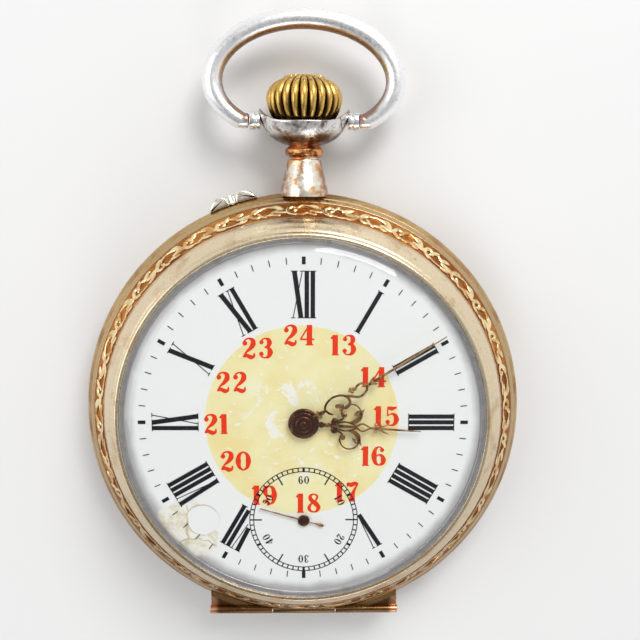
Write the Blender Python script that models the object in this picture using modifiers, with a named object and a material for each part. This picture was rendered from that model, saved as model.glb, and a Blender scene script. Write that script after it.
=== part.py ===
"""Pocket watch with a glazed front, crown winding and pin setting, lying on its back.

Units in this script are millimetres. The scene is in metres, so lengths are multiplied
by MM when points are made. The origin is the centre of the back's flat, +Z runs through
the movement to the glass and +Y points to twelve o'clock.
"""

import math

import bmesh
import bpy
from mathutils import Vector

MM = 0.001
TAU = 2 * math.pi

# Roundness of turned work, in steps around
FINE, COARSE, SMALL, TINY = 30, 18, 10, 7

# Running clearances
SNAP = 0.05  # between covers and the middle, when shut
RUN = 0.05  # between a turning face and its neighbour
PIVOT_PLAY = 0.06  # around a pivot in its hole

# Case, radii, from the movement's bore outwards
CASE_BORE_R = 20.5  # the movement drops in here
COLLAR_WALL = 1.5  # raised ring of the middle that the bezel snaps on
BACK_COLLAR_WALL = 3.5  # ring of the middle that the back snaps on
LIP = 0.65  # the back's edge around that ring
BAND_SWELL = 0.6
COLLAR_R = CASE_BORE_R + COLLAR_WALL
BACK_COLLAR_R = CASE_BORE_R + BACK_COLLAR_WALL
PARTING_R = BACK_COLLAR_R + LIP  # where bezel and back meet the middle
RIM_R = PARTING_R + BAND_SWELL  # widest part of the middle
BACK_ROUND = 8.65  # width of the back's curved edge
BACK_FLAT_R = PARTING_R - BACK_ROUND
CUVETTE_INSET, CUVETTE_ROUND = 1.3, 5.7
CUVETTE_R = BACK_COLLAR_R - CUVETTE_INSET

# Case, heights, from the back upwards
BACK_WALL = 0.5
BACK_PARTING_Z = 3.35
BAND_HALF = 1.25  # half of the height between the two partings
PENDANT_Z = BACK_PARTING_Z + BAND_HALF  # height of the winding axis
BEZEL_PARTING_Z = PENDANT_Z + BAND_HALF
COLLAR_TALL = 2.32
LEDGE_Z = BEZEL_PARTING_Z + COLLAR_TALL  # the movement's flange rests here
CUVETTE_Z = 1.45
CUVETTE_WALL = 0.35
CUVETTE_SEAT_DROP = 0.75
CUVETTE_SEAT_Z = BACK_PARTING_Z - CUVETTE_SEAT_DROP

# Movement
BRIDGE_Z, BRIDGE_THICK = 2.95, 0.9
FLANGE_THICK, PLATE_THICK = 0.78, 1.8
FLANGE_Z = LEDGE_Z + SNAP
PLATE_TOP_Z = FLANGE_Z + FLANGE_THICK
PLATE_Z = PLATE_TOP_Z - PLATE_THICK
MOTION_ROOM = 0.95  # between the mainplate and the dial's seat
DIAL_SEAT_Z = PLATE_TOP_Z + MOTION_ROOM
MOTION_Z = PLATE_TOP_Z + 0.1
PLATE_PLAY, FLANGE_LAP, BRIDGE_INSET = 0.15, 0.7, 0.8
PLATE_R = CASE_BORE_R - PLATE_PLAY
FLANGE_R = CASE_BORE_R + FLANGE_LAP
BRIDGE_R = CASE_BORE_R - BRIDGE_INSET

# Dial, glass and hands
DIAL_THICK, DIAL_LAP = 0.8, 0.05
DIAL_Z = DIAL_SEAT_Z + SNAP
DIAL_TOP_Z = DIAL_Z + DIAL_THICK
DIAL_R = CASE_BORE_R + DIAL_LAP
GLASS_GAP, GLASS_INSET, GLASS_RISE, GLASS_WALL = 0.35, 0.1, 2.35, 0.65
GLASS_SEAT_Z = DIAL_TOP_Z + GLASS_GAP
GLASS_R = CASE_BORE_R - GLASS_INSET
HAND_THICK = 0.16
SECOND_HAND_Z = DIAL_TOP_Z + 0.24
HOUR_HAND_Z = SECOND_HAND_Z + 0.36
MINUTE_HAND_Z = HOUR_HAND_Z + 0.38
MINUTE_HAND_LENGTH, HOUR_HAND_LENGTH = 18.5, 13.1
SECOND_HAND_LENGTH, SECOND_TAIL = 4.9, 2.1
MINUTE_HAND_AT, HOUR_HAND_AT, SECOND_HAND_AT = 57.8, 94.0, 286.0  # degrees from twelve

# Wheels: teeth and module
CENTRE_TEETH, THIRD_LEAVES, CENTRE_MODULE = 64, 8, 0.2
THIRD_TEETH, FOURTH_LEAVES, THIRD_MODULE = 60, 8, 0.17
FOURTH_TEETH, ESCAPE_LEAVES, FOURTH_MODULE = 70, 7, 0.145
BARREL_TEETH, CENTRE_LEAVES, BARREL_MODULE = 72, 10, 0.21
CANNON_TEETH, MINUTE_TEETH, MOTION_MODULE = 12, 36, 0.2
MINUTE_LEAVES, HOUR_TEETH = 10, 40
SETTING_TEETH = 40
CROWN_WHEEL_TEETH, RATCHET_TEETH, WINDING_MODULE = 24, 45, 0.3
WINDING_TEETH = 12
ESCAPE_TEETH, ESCAPE_R = 15, 3.4

# Train layout
SECONDS_Y = -11.4
BARREL_DIRECTION = math.radians(42)
ESCAPE_DIRECTION = math.radians(159.2)
BALANCE_AT = (-9.5, -1.5)
PALLET_DISTANCE = 3.93
BALANCE_R, BALANCE_RIM = 7.6, 0.7
ROLLER_R = 1.5

# Winding and setting
STEM_R, STEM_SQUARE_R = 0.55, 0.42
SET_PIN_DIRECTION = math.radians(90 + 18.5)
SET_PIN_R, SET_PIN_PROUD = 0.4, 0.98
SETTING_WHEEL_Y = 12.4
CLUTCH_Y, CLUTCH_LONG, CLUTCH_R = 15.05, 1.55, 1.15
WINDING_LONG = 1.48

# Pendant, crown and bow
NECK_FOOT_R, NECK_TOP_R = 2.7, 1.7
CUP_R, PENDANT_LONG = 3.95, 7.75
CUP_TOP_Y = RIM_R + PENDANT_LONG
EAR_X = CUP_R + 1.3  # outer face of an ear
CROWN_R, CROWN_LONG, FLUTES = 4.25, 5.05, 24
CROWN_FOOT_Y = CUP_TOP_Y + 0.15
CROWN_TOP_Y = CROWN_FOOT_Y + CROWN_LONG
BOW_PIVOT_X, BOW_PIVOT_Y = 7.0, CUP_TOP_Y + 0.1
BOW_WIRE_R, BOW_HALF_WIDTH = 1.03, 10.15
BOW_CENTRE_Y = BOW_PIVOT_Y + 4.2
BOW_RISE, BOW_DROP = 6.75, 5.8
BOW_PIN_R = 0.45

# Hinges at six o'clock
HINGE_SET_IN = 0.2  # of the case hinges' axes, inside the parting circle
HINGE_Y = HINGE_SET_IN - PARTING_R
HINGE_R, HINGE_PIN_R, HINGE_HALF = 0.5, 0.28, 11.3
CUVETTE_HINGE = (-0.25 - CUVETTE_R, CUVETTE_SEAT_Z - 0.08)
CUVETTE_HINGE_R, CUVETTE_PIN_R, CUVETTE_HINGE_HALF = 0.38, 0.18, 4.5


def arc(cx, cy, radius, start, end, steps, radius_y=None):
    """Points of an arc or ellipse, angles in degrees, both ends included."""
    tall = radius if radius_y is None else radius_y
    angles = [math.radians(start + (end - start) * i / steps) for i in range(steps + 1)]
    return [(cx + radius * math.cos(a), cy + tall * math.sin(a)) for a in angles]


def polar(radius, angle, centre=(0.0, 0.0)):
    return (centre[0] + radius * math.cos(angle), centre[1] + radius * math.sin(angle))


def signed_area(points):
    pairs = zip(points, points[1:] + points[:1])
    return sum(a[0] * b[1] - b[0] * a[1] for a, b in pairs) / 2


def new_collection(name, helper=False):
    made = bpy.data.collections.new(name)
    bpy.context.scene.collection.children.link(made)
    made.hide_render = helper
    return made


def material(name, colour, roughness, metallic=1.0, transmission=0.0):
    made = bpy.data.materials.new(name)
    made.use_nodes = True
    shader = made.node_tree.nodes["Principled BSDF"]
    shader.inputs["Base Color"].default_value = (*colour, 1)
    shader.inputs["Roughness"].default_value = roughness
    shader.inputs["Metallic"].default_value = metallic
    shader.inputs["Transmission Weight"].default_value = transmission
    made.diffuse_color = (*colour, 1)
    return made


def clear_scene():
    for obj in list(bpy.data.objects):
        bpy.data.objects.remove(obj, do_unlink=True)
    for old in list(bpy.data.collections):
        bpy.data.collections.remove(old)


clear_scene()
PARTS = new_collection("pocket_watch")
CUTTERS = new_collection("pocket_watch_cutters", helper=True)

SILVER = material("silver", (0.78, 0.76, 0.72), 0.28)
GILT = material("gilt", (0.72, 0.52, 0.26), 0.32)
COPPER = material("copper_base", (0.62, 0.33, 0.2), 0.38)
BRASS = material("brass", (0.72, 0.56, 0.26), 0.3)
STEEL = material("steel", (0.56, 0.57, 0.6), 0.22)
BLUED = material("blued_steel", (0.08, 0.12, 0.35), 0.25)
ENAMEL = material("enamel", (0.86, 0.82, 0.72), 0.2, metallic=0.0)
GLASS = material("glass", (0.98, 0.98, 0.98), 0.02, metallic=0.0, transmission=1.0)
RUBY = material("ruby", (0.5, 0.03, 0.1), 0.1, metallic=0.0, transmission=0.4)


def add(name, mesh, look, at=(0, 0, 0), turn=(0, 0, 0)):
    """A new object of this mesh. Its name is its node's name."""
    obj = bpy.data.objects.new(name, mesh)
    obj.location = Vector(at) * MM
    obj.rotation_euler = turn
    mesh.materials.append(look)
    PARTS.objects.link(obj)
    return obj


def helper(obj):
    """Moves an object among the cutters, where it is drawn as wire and not built."""
    PARTS.objects.unlink(obj)
    CUTTERS.objects.link(obj)
    obj.hide_render = True
    obj.display_type = "WIRE"
    return obj


ALONG_Y = (-math.pi / 2, 0, 0)  # turns local +Z to world +Y
ALONG_X = (0, math.pi / 2, 0)  # turns local +Z to world +X


def turned(name, profile, look, at=(0, 0, 0), turn=(0, 0, 0), steps=COARSE):
    """A lathe shape: (radius, height) points, closed, or open with both ends on the axis."""
    points = list(profile)
    open_ended = points[0][0] == 0 and points[-1][0] == 0
    if signed_area(points) > 0:
        points.reverse()
    mesh = bpy.data.meshes.new(name)
    edges = [(i, i + 1) for i in range(len(points) - 1)]
    if not open_ended:
        edges.append((len(points) - 1, 0))
    mesh.from_pydata([(r * MM, 0, h * MM) for r, h in points], edges, [])
    obj = add(name, mesh, look, at, turn)
    screw = obj.modifiers.new("turn", "SCREW")
    screw.steps = screw.render_steps = steps
    screw.use_merge_vertices = True
    screw.merge_threshold = 1e-7
    screw.use_smooth_shade = False
    return obj


def disc(name, radius, low, high, look, centre=(0, 0), steps=SMALL, bore=0.0):
    """A flat disc, or a ring when it has a bore."""
    profile = [(bore, low), (radius, low), (radius, high), (bore, high)]
    return turned(name, profile, look, (*centre, 0), steps=steps)


def rod(name, radius, start, length, look, turn=(0, 0, 0), steps=TINY):
    """A plain cylinder from a start point along the turned local +Z."""
    profile = [(0, 0), (radius, 0), (radius, length), (0, length)]
    return turned(name, profile, look, start, turn, steps)


def block(name, low, high, look):
    """A box between two corners."""
    mesh = bpy.data.meshes.new(name)
    shape = bmesh.new()
    bmesh.ops.create_cube(shape, size=1)
    size = Vector(high) - Vector(low)
    bmesh.ops.scale(shape, vec=size * MM, verts=shape.verts)
    shape.to_mesh(mesh)
    shape.free()
    return add(name, mesh, look, (Vector(high) + Vector(low)) / 2)


def as_mesh(obj, name, look):
    """A new mesh object of what a curve or a modified object evaluates to."""
    graph = bpy.context.evaluated_depsgraph_get()
    mesh = bpy.data.meshes.new_from_object(obj.evaluated_get(graph))
    place = obj.matrix_world.copy()
    bpy.data.objects.remove(obj, do_unlink=True)
    shape = bmesh.new()
    shape.from_mesh(mesh)
    bmesh.ops.remove_doubles(shape, verts=shape.verts, dist=1e-7)
    bmesh.ops.recalc_face_normals(shape, faces=shape.faces)
    shape.to_mesh(mesh)
    shape.free()
    mesh.materials.clear()
    made = add(name, mesh, look)
    made.matrix_world = place
    return made


def plate(name, outlines, low, high, look, centre=(0, 0), turn=0.0):
    """A flat piece: its outline first, then any openings, all (x, y) points."""
    curve = bpy.data.curves.new(name, "CURVE")
    curve.dimensions = "2D"
    curve.fill_mode = "BOTH"
    curve.extrude = (high - low) / 2 * MM
    for points in outlines:
        spline = curve.splines.new("POLY")
        spline.points.add(len(points) - 1)
        for point, (x, y) in zip(spline.points, points):
            point.co = (x * MM, y * MM, 0, 1)
        spline.use_cyclic_u = True
    obj = bpy.data.objects.new(name + "_outline", curve)
    obj.location = Vector((*centre, (low + high) / 2)) * MM
    obj.rotation_euler = (0, 0, turn)
    PARTS.objects.link(obj)
    bpy.context.view_layer.update()
    return as_mesh(obj, name, look)


def boolean(target, other, operation):
    step = target.modifiers.new(operation.lower(), "BOOLEAN")
    step.operation = operation
    step.solver = "EXACT"
    step.object = helper(other)
    return target


def fuse(target, *others):
    for other in others:
        boolean(target, other, "UNION")
    return target


def cut(target, *others):
    for other in others:
        boolean(target, other, "DIFFERENCE")
    return target


def carried(obj, axis_point):
    """Puts a piece on an empty that marks its joint's axis, without moving the piece."""
    place = Vector(axis_point) * MM
    empty = bpy.data.objects.new(obj.name + "_axis", None)
    empty.location = place
    empty.empty_display_size = 2 * MM
    PARTS.objects.link(empty)
    obj.parent = empty
    obj.location = obj.location - place
    return obj


# ---------------------------------------------------------------- teeth


def wheel_outline(teeth, module, phase, flat=0.1):
    """Teeth with V gaps. flat is half of a tip's width, as a share of the pitch; 0 is pointed."""
    pitch_r = module * teeth / 2
    tip, root, step = pitch_r + 0.8 * module, pitch_r - 1.35 * module, TAU / teeth
    points = []
    for i in range(teeth):
        middle = phase + i * step
        points.append(polar(root, middle - step / 2))
        points.append(polar(tip, middle - flat * step))
        if flat:
            points.append(polar(tip, middle + flat * step))
    return points


def leaf_outline(leaves, module, phase):
    """Pinion leaves, narrow at the tip, with a wide floor between them."""
    pitch_r = module * leaves / 2
    tip, root, step = pitch_r + 0.75 * module, pitch_r - 1.3 * module, TAU / leaves
    points = []
    for i in range(leaves):
        middle = phase + i * step
        points += [
            polar(root, middle - 0.24 * step),
            polar(tip, middle - 0.05 * step),
            polar(tip, middle + 0.05 * step),
            polar(root, middle + 0.24 * step),
        ]
    return points


def meshed(centre, teeth, phase, other_centre, other_teeth):
    """The phase that puts the other wheel's gap on this wheel's tooth at the line of centres."""
    line = math.atan2(other_centre[1] - centre[1], other_centre[0] - centre[0])
    share = (line - phase) / (TAU / teeth)
    return line + math.pi - (0.5 - share) * TAU / other_teeth


def spoke_openings(spokes, inner, outer, width, phase=0.3, steps=3):
    """Openings between straight spokes of a wheel."""
    found = []
    for i in range(spokes):
        low = phase + i * TAU / spokes
        high = low + TAU / spokes
        near, far = math.asin(width / 2 / inner), math.asin(width / 2 / outer)
        sweep = high - low - 2 * far
        rim = [polar(outer, low + far + sweep * k / steps) for k in range(steps + 1)]
        hub = [polar(inner, high - near), polar(inner, low + near)]
        found.append(rim + hub)
    return found


def toothed(name, outline, low, high, look, centre, openings=()):
    return plate(name, [outline, *openings], low, high, look, centre)


def arbor(name, steps_up, look, centre, sides=TINY):
    """A stepped arbor from (height, radius) pairs: each radius holds up to the next height."""
    profile = [(0, steps_up[0][0])]
    for (low, radius), (high, _) in zip(steps_up, steps_up[1:]):
        profile += [(radius, low), (radius, high)]
    profile.append((0, steps_up[-1][0]))
    return turned(name, profile, look, (*centre, 0), steps=sides)


# ---------------------------------------------------------------- train centres

CENTRE = (0.0, 0.0)
SECONDS = (0.0, SECONDS_Y)
CENTRE_THIRD = CENTRE_MODULE * (CENTRE_TEETH + THIRD_LEAVES) / 2
THIRD_FOURTH = THIRD_MODULE * (THIRD_TEETH + FOURTH_LEAVES) / 2
FOURTH_ESCAPE = FOURTH_MODULE * (FOURTH_TEETH + ESCAPE_LEAVES) / 2
CENTRE_BARREL = BARREL_MODULE * (BARREL_TEETH + CENTRE_LEAVES) / 2
CENTRE_MINUTE = MOTION_MODULE * (CANNON_TEETH + MINUTE_TEETH) / 2
HOUR_MODULE = 2 * CENTRE_MINUTE / (MINUTE_LEAVES + HOUR_TEETH)
CROWN_RATCHET = WINDING_MODULE * (CROWN_WHEEL_TEETH + RATCHET_TEETH) / 2

third_drop = (CENTRE_THIRD**2 - THIRD_FOURTH**2 + SECONDS_Y**2) / (2 * -SECONDS_Y)
THIRD = (math.sqrt(CENTRE_THIRD**2 - third_drop**2), -third_drop)
ESCAPE = polar(FOURTH_ESCAPE, ESCAPE_DIRECTION, SECONDS)
BARREL = polar(CENTRE_BARREL, BARREL_DIRECTION)
MINUTE_WORK = (0.0, CENTRE_MINUTE)
SETTING = (0.0, SETTING_WHEEL_Y)
CROWN_WORK = (0.0, BARREL[1] + math.sqrt(CROWN_RATCHET**2 - BARREL[0] ** 2))
ESCAPE_TO_BALANCE = math.atan2(BALANCE_AT[1] - ESCAPE[1], BALANCE_AT[0] - ESCAPE[0])
PALLET = polar(PALLET_DISTANCE, ESCAPE_TO_BALANCE, ESCAPE)
PALLET_BALANCE = math.dist(PALLET, BALANCE_AT)

# Phases, worked along the train so that every pair is in mesh at rest
CENTRE_PHASE = 0.0
THIRD_LEAF_PHASE = meshed(CENTRE, CENTRE_TEETH, CENTRE_PHASE, THIRD, THIRD_LEAVES)
THIRD_PHASE = 0.0
FOURTH_LEAF_PHASE = meshed(THIRD, THIRD_TEETH, THIRD_PHASE, SECONDS, FOURTH_LEAVES)
FOURTH_PHASE = 0.0
ESCAPE_LEAF_PHASE = meshed(SECONDS, FOURTH_TEETH, FOURTH_PHASE, ESCAPE, ESCAPE_LEAVES)
CENTRE_LEAF_PHASE = 0.0
BARREL_PHASE = meshed(CENTRE, CENTRE_LEAVES, CENTRE_LEAF_PHASE, BARREL, BARREL_TEETH)
CANNON_PHASE = 0.0
MINUTE_PHASE = meshed(CENTRE, CANNON_TEETH, CANNON_PHASE, MINUTE_WORK, MINUTE_TEETH)
MINUTE_LEAF_PHASE = 0.0
HOUR_PHASE = meshed(MINUTE_WORK, MINUTE_LEAVES, MINUTE_LEAF_PHASE, CENTRE, HOUR_TEETH)
SETTING_PHASE = meshed(MINUTE_WORK, MINUTE_TEETH, MINUTE_PHASE, SETTING, SETTING_TEETH)
CROWN_WHEEL_PHASE = math.pi / 2 + math.pi / CROWN_WHEEL_TEETH  # a gap faces the stem
RATCHET_PHASE = meshed(CROWN_WORK, CROWN_WHEEL_TEETH, CROWN_WHEEL_PHASE, BARREL, RATCHET_TEETH)


# ---------------------------------------------------------------- case


def hinge_rod(name, y, z, x_from, x_to, radius, look):
    return rod(name, radius, (x_from, y, z), x_to - x_from, look, ALONG_X, SMALL)


def knuckle(y, z, x_from, x_to, radius, bore, look):
    """A short tube along X, for the hinge pin to run through."""
    profile = [(bore, x_from), (radius, x_from), (radius, x_to), (bore, x_to)]
    return turned("knuckle", profile, look, (0, y, z), ALONG_X, SMALL)


def hinge_halves(fixed, moving, at, half, radius, pin_r, fixed_leaf, leaf, look):
    """Two outer knuckles on the fixed piece, a middle one on the moving piece, and their gaps.

    A leaf is the (y, low z, high z) of the tongues that join knuckles to their piece. It is
    None where the knuckles lie in the piece's own edge.
    """
    y, z = at
    third, bore = half / 3, pin_r + PIVOT_PLAY / 2
    channel, room, slack = (bore + radius) / 2, radius + RUN, 2 * RUN
    spans = [(-half, -third - RUN), (third + RUN, half)]
    cut(moving, *[hinge_rod("room", y, z, a - slack, b + slack, room, look) for a, b in spans])
    cut(moving, hinge_rod("channel", y, z, -third - RUN, third + RUN, channel, look))
    cut(fixed, hinge_rod("channel", y, z, RUN - half, half - RUN, channel, look))
    cut(fixed, hinge_rod("room", y, z, -third - 2 * RUN, third + 2 * RUN, room, look))
    fuse(fixed, *[knuckle(y, z, a, b, radius, bore, look) for a, b in spans])
    fuse(moving, knuckle(y, z, -third, third, radius, bore, look))
    start_y = y + 0.35 * bore + 0.65 * radius  # within the knuckle wall
    for piece, tongue, (a, b) in (
        (moving, leaf, (-third, third)),
        (fixed, fixed_leaf, spans[0]),
        (fixed, fixed_leaf, spans[1]),
    ):
        if tongue:
            inner_y, low, high = tongue
            fuse(piece, block("tongue", (a + 0.1, start_y, low), (b - 0.1, inner_y, high), look))


def hinge_pin(name, at, half, pin_r):
    reach = half - 2 * RUN
    return hinge_rod(name, *at, -reach, reach, pin_r, STEEL)


def case_middle():
    band = arc(PARTING_R - 0.9, PENDANT_Z, RIM_R - PARTING_R + 0.9, -40, 40, 4)
    profile = [
        (CASE_BORE_R, CUVETTE_SEAT_Z),
        (BACK_COLLAR_R, CUVETTE_SEAT_Z),
        (BACK_COLLAR_R, BACK_PARTING_Z),
        (PARTING_R, BACK_PARTING_Z),
        *band,
        (PARTING_R, BEZEL_PARTING_Z),
        (COLLAR_R, BEZEL_PARTING_Z),
        (COLLAR_R, LEDGE_Z),
        (CASE_BORE_R, LEDGE_Z),
    ]
    middle = turned("case_middle", profile, COPPER, steps=FINE)
    inside, through = CASE_BORE_R - 1.5, RIM_R - CASE_BORE_R + 3.0
    stem_hole = rod("stem_hole", STEM_R + 0.12, (0, inside, PENDANT_Z), through, COPPER, ALONG_Y)
    start = polar(inside, SET_PIN_DIRECTION)
    pin_turn = (0, math.pi / 2, SET_PIN_DIRECTION)
    pin_hole = rod("pin_hole", SET_PIN_R + PIVOT_PLAY, (*start, PENDANT_Z), through, COPPER, pin_turn)
    return cut(middle, stem_hole, pin_hole)


def bezel():
    low, seat, mouth = BEZEL_PARTING_Z + SNAP, GLASS_SEAT_Z, GLASS_R + SNAP
    profile = [
        (COLLAR_R + SNAP, low),
        (PARTING_R, low),
        (PARTING_R - 0.47, low + 0.53),
        (PARTING_R - 1.35, low + 1.45),
        (COLLAR_R + 0.59, LEDGE_Z + 0.49),
        (GLASS_R + 1.7, seat - 1.35),
        (GLASS_R + 1.03, seat - 0.46),
        (GLASS_R + 0.46, seat + 0.52),
        (mouth, seat + 0.52),
        (mouth, seat),
        (GLASS_R - 0.5, seat),
        (GLASS_R - 0.5, seat - 0.2),
        (DIAL_R + 0.25, DIAL_TOP_Z + 0.1),
        (FLANGE_R + 0.15, PLATE_TOP_Z + 0.1),
        (COLLAR_R + SNAP, LEDGE_Z + 0.1),
    ]
    return turned("bezel", profile, COPPER, steps=FINE)


def crystal():
    """A domed glass: its outer face, then its inner face, one wall below."""
    seat, top = GLASS_SEAT_Z, GLASS_SEAT_Z + GLASS_RISE
    edge = GLASS_R - 2.4
    outer = [(edge, top - 0.45), (GLASS_R - 1.0, top - 0.7), (GLASS_R - 0.25, top - 1.25), (GLASS_R, seat + 0.45)]
    inner = [(GLASS_R - 0.45, seat + RUN), (GLASS_R - 0.7, top - 1.6), (edge, top - 0.45 - GLASS_WALL)]
    profile = [
        (0, top),
        (GLASS_R - 8.4, top - 0.2),
        *outer,
        (GLASS_R, seat + RUN),
        *inner,
        (0, top - GLASS_WALL),
    ]
    return turned("crystal", profile, GLASS, steps=FINE)


def back_cover():
    outer_r, rise = PARTING_R - BACK_FLAT_R, BACK_PARTING_Z - 0.65
    inner_r = BACK_COLLAR_R + SNAP - BACK_FLAT_R
    inner_rise = BACK_PARTING_Z - 1.25
    outer = arc(BACK_FLAT_R, rise, outer_r, -90, 0, 4, radius_y=rise)
    inner = arc(BACK_FLAT_R, BACK_WALL + inner_rise, inner_r, 0, -90, 4, radius_y=inner_rise)
    profile = [
        (0, 0),
        *outer,
        (PARTING_R, BACK_PARTING_Z - SNAP),
        (BACK_COLLAR_R + SNAP, BACK_PARTING_Z - SNAP),
        *inner,
        (0, BACK_WALL),
    ]
    return turned("back_cover", profile, COPPER, steps=FINE)


def cuvette():
    flat, top = CUVETTE_R - CUVETTE_ROUND, CUVETTE_SEAT_Z - SNAP
    rise = top - CUVETTE_Z - 0.2
    outer = arc(flat, CUVETTE_Z + rise, CUVETTE_R - flat, -90, 0, 3, radius_y=rise)
    reach = CUVETTE_R - CUVETTE_WALL - flat
    inner_rise = top - CUVETTE_Z - CUVETTE_WALL
    inner = arc(flat, top, reach, 0, -90, 2, radius_y=inner_rise)
    profile = [
        (0, CUVETTE_Z),
        *outer,
        (CUVETTE_R, top),
        *inner,
        (0, CUVETTE_Z + CUVETTE_WALL),
    ]
    return turned("cuvette", profile, BRASS, steps=COARSE)


def pin_guard():
    """Two shoulders with a V between them, seated on the band, around the setting pin."""
    half, out = 2.8, RIM_R + 1.15
    seat = RIM_R + 0.02
    outline = [
        (-half, -0.4),
        (half, -0.4),
        (half - 0.1, 0.25),
        (half - 0.7, 0.95),
        (half - 1.4, out - seat),
        (0.75, 0.95),
        (0.52, 0.1),
        (-0.52, 0.1),
        (-0.75, 0.95),
        (-half + 1.4, out - seat),
        (-half + 0.7, 0.95),
        (-half + 0.1, 0.25),
    ]
    turn = SET_PIN_DIRECTION - math.pi / 2
    low, high = PENDANT_Z - 0.8, PENDANT_Z + 0.8
    guard = plate("pin_guard", [outline], low, high, SILVER, polar(seat, SET_PIN_DIRECTION), turn)
    seat_cut = disc("seat_cut", seat, PENDANT_Z - 4, PENDANT_Z + 4, SILVER, steps=FINE)
    start = (*polar(RIM_R - 2, SET_PIN_DIRECTION), PENDANT_Z)
    along = (0, math.pi / 2, SET_PIN_DIRECTION)
    bore = rod("pin_bore", SET_PIN_R + PIVOT_PLAY, start, 5, SILVER, along)
    return cut(guard, seat_cut, bore)


def setting_pin():
    inner_r = CASE_BORE_R - 0.12
    start = (*polar(inner_r, SET_PIN_DIRECTION), PENDANT_Z)
    along = (0, math.pi / 2, SET_PIN_DIRECTION)
    return rod("setting_pin", SET_PIN_R, start, RIM_R + SET_PIN_PROUD - inner_r, SILVER, along, SMALL)


# ---------------------------------------------------------------- pendant and bow


def pendant():
    """Neck, collar and boat-shaped head in one piece, on the band at twelve o'clock."""
    foot_y, top = math.sqrt(RIM_R**2 - NECK_FOOT_R**2) - 0.35, CUP_TOP_Y
    bore = STEM_R + 0.5
    profile = [
        (0, foot_y),
        (NECK_FOOT_R, foot_y),
        (NECK_FOOT_R - 0.1, top - 7.0),
        (NECK_TOP_R + 0.35, top - 5.6),
        (NECK_TOP_R, top - 4.1),
        (NECK_TOP_R + 0.15, top - 3.8),
        (NECK_TOP_R + 0.4, top - 3.5),
        (NECK_TOP_R + 0.4, top - 2.9),
        (NECK_TOP_R + 0.15, top - 2.6),
        (NECK_TOP_R + 0.6, top - 2.25),
        (CUP_R - 0.75, top - 1.5),
        (CUP_R - 0.2, top - 0.7),
        (CUP_R, top),
        (0, top),
    ]
    piece = turned("pendant", profile, SILVER, (0, 0, PENDANT_Z), ALONG_Y, steps=16)
    ear = [
        (0, top - 2.25),
        (NECK_TOP_R + 0.3, top - 2.15),
        (CUP_R - 0.35, top - 1.65),
        (EAR_X - 0.5, top - 0.9),
        (EAR_X, top),
        (EAR_X - 0.05, top + 0.8),
        (EAR_X - 0.4, top + 1.35),
        (EAR_X - 0.8, top + 0.9),
        (CUP_R + 0.35, top + 0.3),
        (CUP_R - 0.25, top - 0.4),
        (0, top - 1.4),
    ]
    outline = ear + [(-x, y) for x, y in reversed(ear[1:-1])]
    boat = plate("boat", [outline], PENDANT_Z - 1.5, PENDANT_Z + 1.5, SILVER)
    fuse(piece, boat)
    cup = [
        (0, top - 1.6),
        (CUP_R - 1.75, top - 1.5),
        (CUP_R - 1.05, top - 1.1),
        (CUP_R - 0.5, top),
        (CUP_R + 0.1, top + 1.6),
        (0, top + 1.6),
    ]
    cup_room = turned("cup_room", cup, SILVER, (0, 0, PENDANT_Z), ALONG_Y, steps=16)
    band_room = disc("band_room", RIM_R + 0.02, -2, 12, SILVER, steps=FINE)
    pin_start = (-EAR_X - 0.75, BOW_PIVOT_Y, PENDANT_Z)
    ears_bore = rod("ears_bore", BOW_PIN_R + PIVOT_PLAY, pin_start, 2 * EAR_X + 1.5, SILVER, ALONG_X, SMALL)
    neck_bore = rod("neck_bore", bore, (0, foot_y - 1, PENDANT_Z), top - foot_y - 0.3, SILVER, ALONG_Y, SMALL)
    return cut(piece, cup_room, band_room, ears_bore, neck_bore)


def pendant_sleeve():
    """The split sleeve in the neck that holds the stem."""
    inner, outer = STEM_R + RUN, STEM_R + 0.46
    low, high = RIM_R + 0.75, CUP_TOP_Y - 1.8
    profile = [(inner, low), (outer, low), (outer, high), (inner, high)]
    return turned("pendant_sleeve", profile, STEEL, (0, 0, PENDANT_Z), ALONG_Y, steps=SMALL)


def bow_bush(side):
    """The bead between an ear and the bow's eye."""
    inner = BOW_PIN_R + RUN
    low, high = EAR_X + SNAP, BOW_PIVOT_X - 0.9
    profile = [(inner, low), (0.8, low), (0.95, (low + high) / 2), (0.8, high), (inner, high)]
    turn = ALONG_X if side > 0 else (0, -math.pi / 2, 0)
    name = "bow_bush_right" if side > 0 else "bow_bush_left"
    return turned(name, profile, SILVER, (0, BOW_PIVOT_Y, PENDANT_Z), turn, steps=SMALL)


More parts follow.
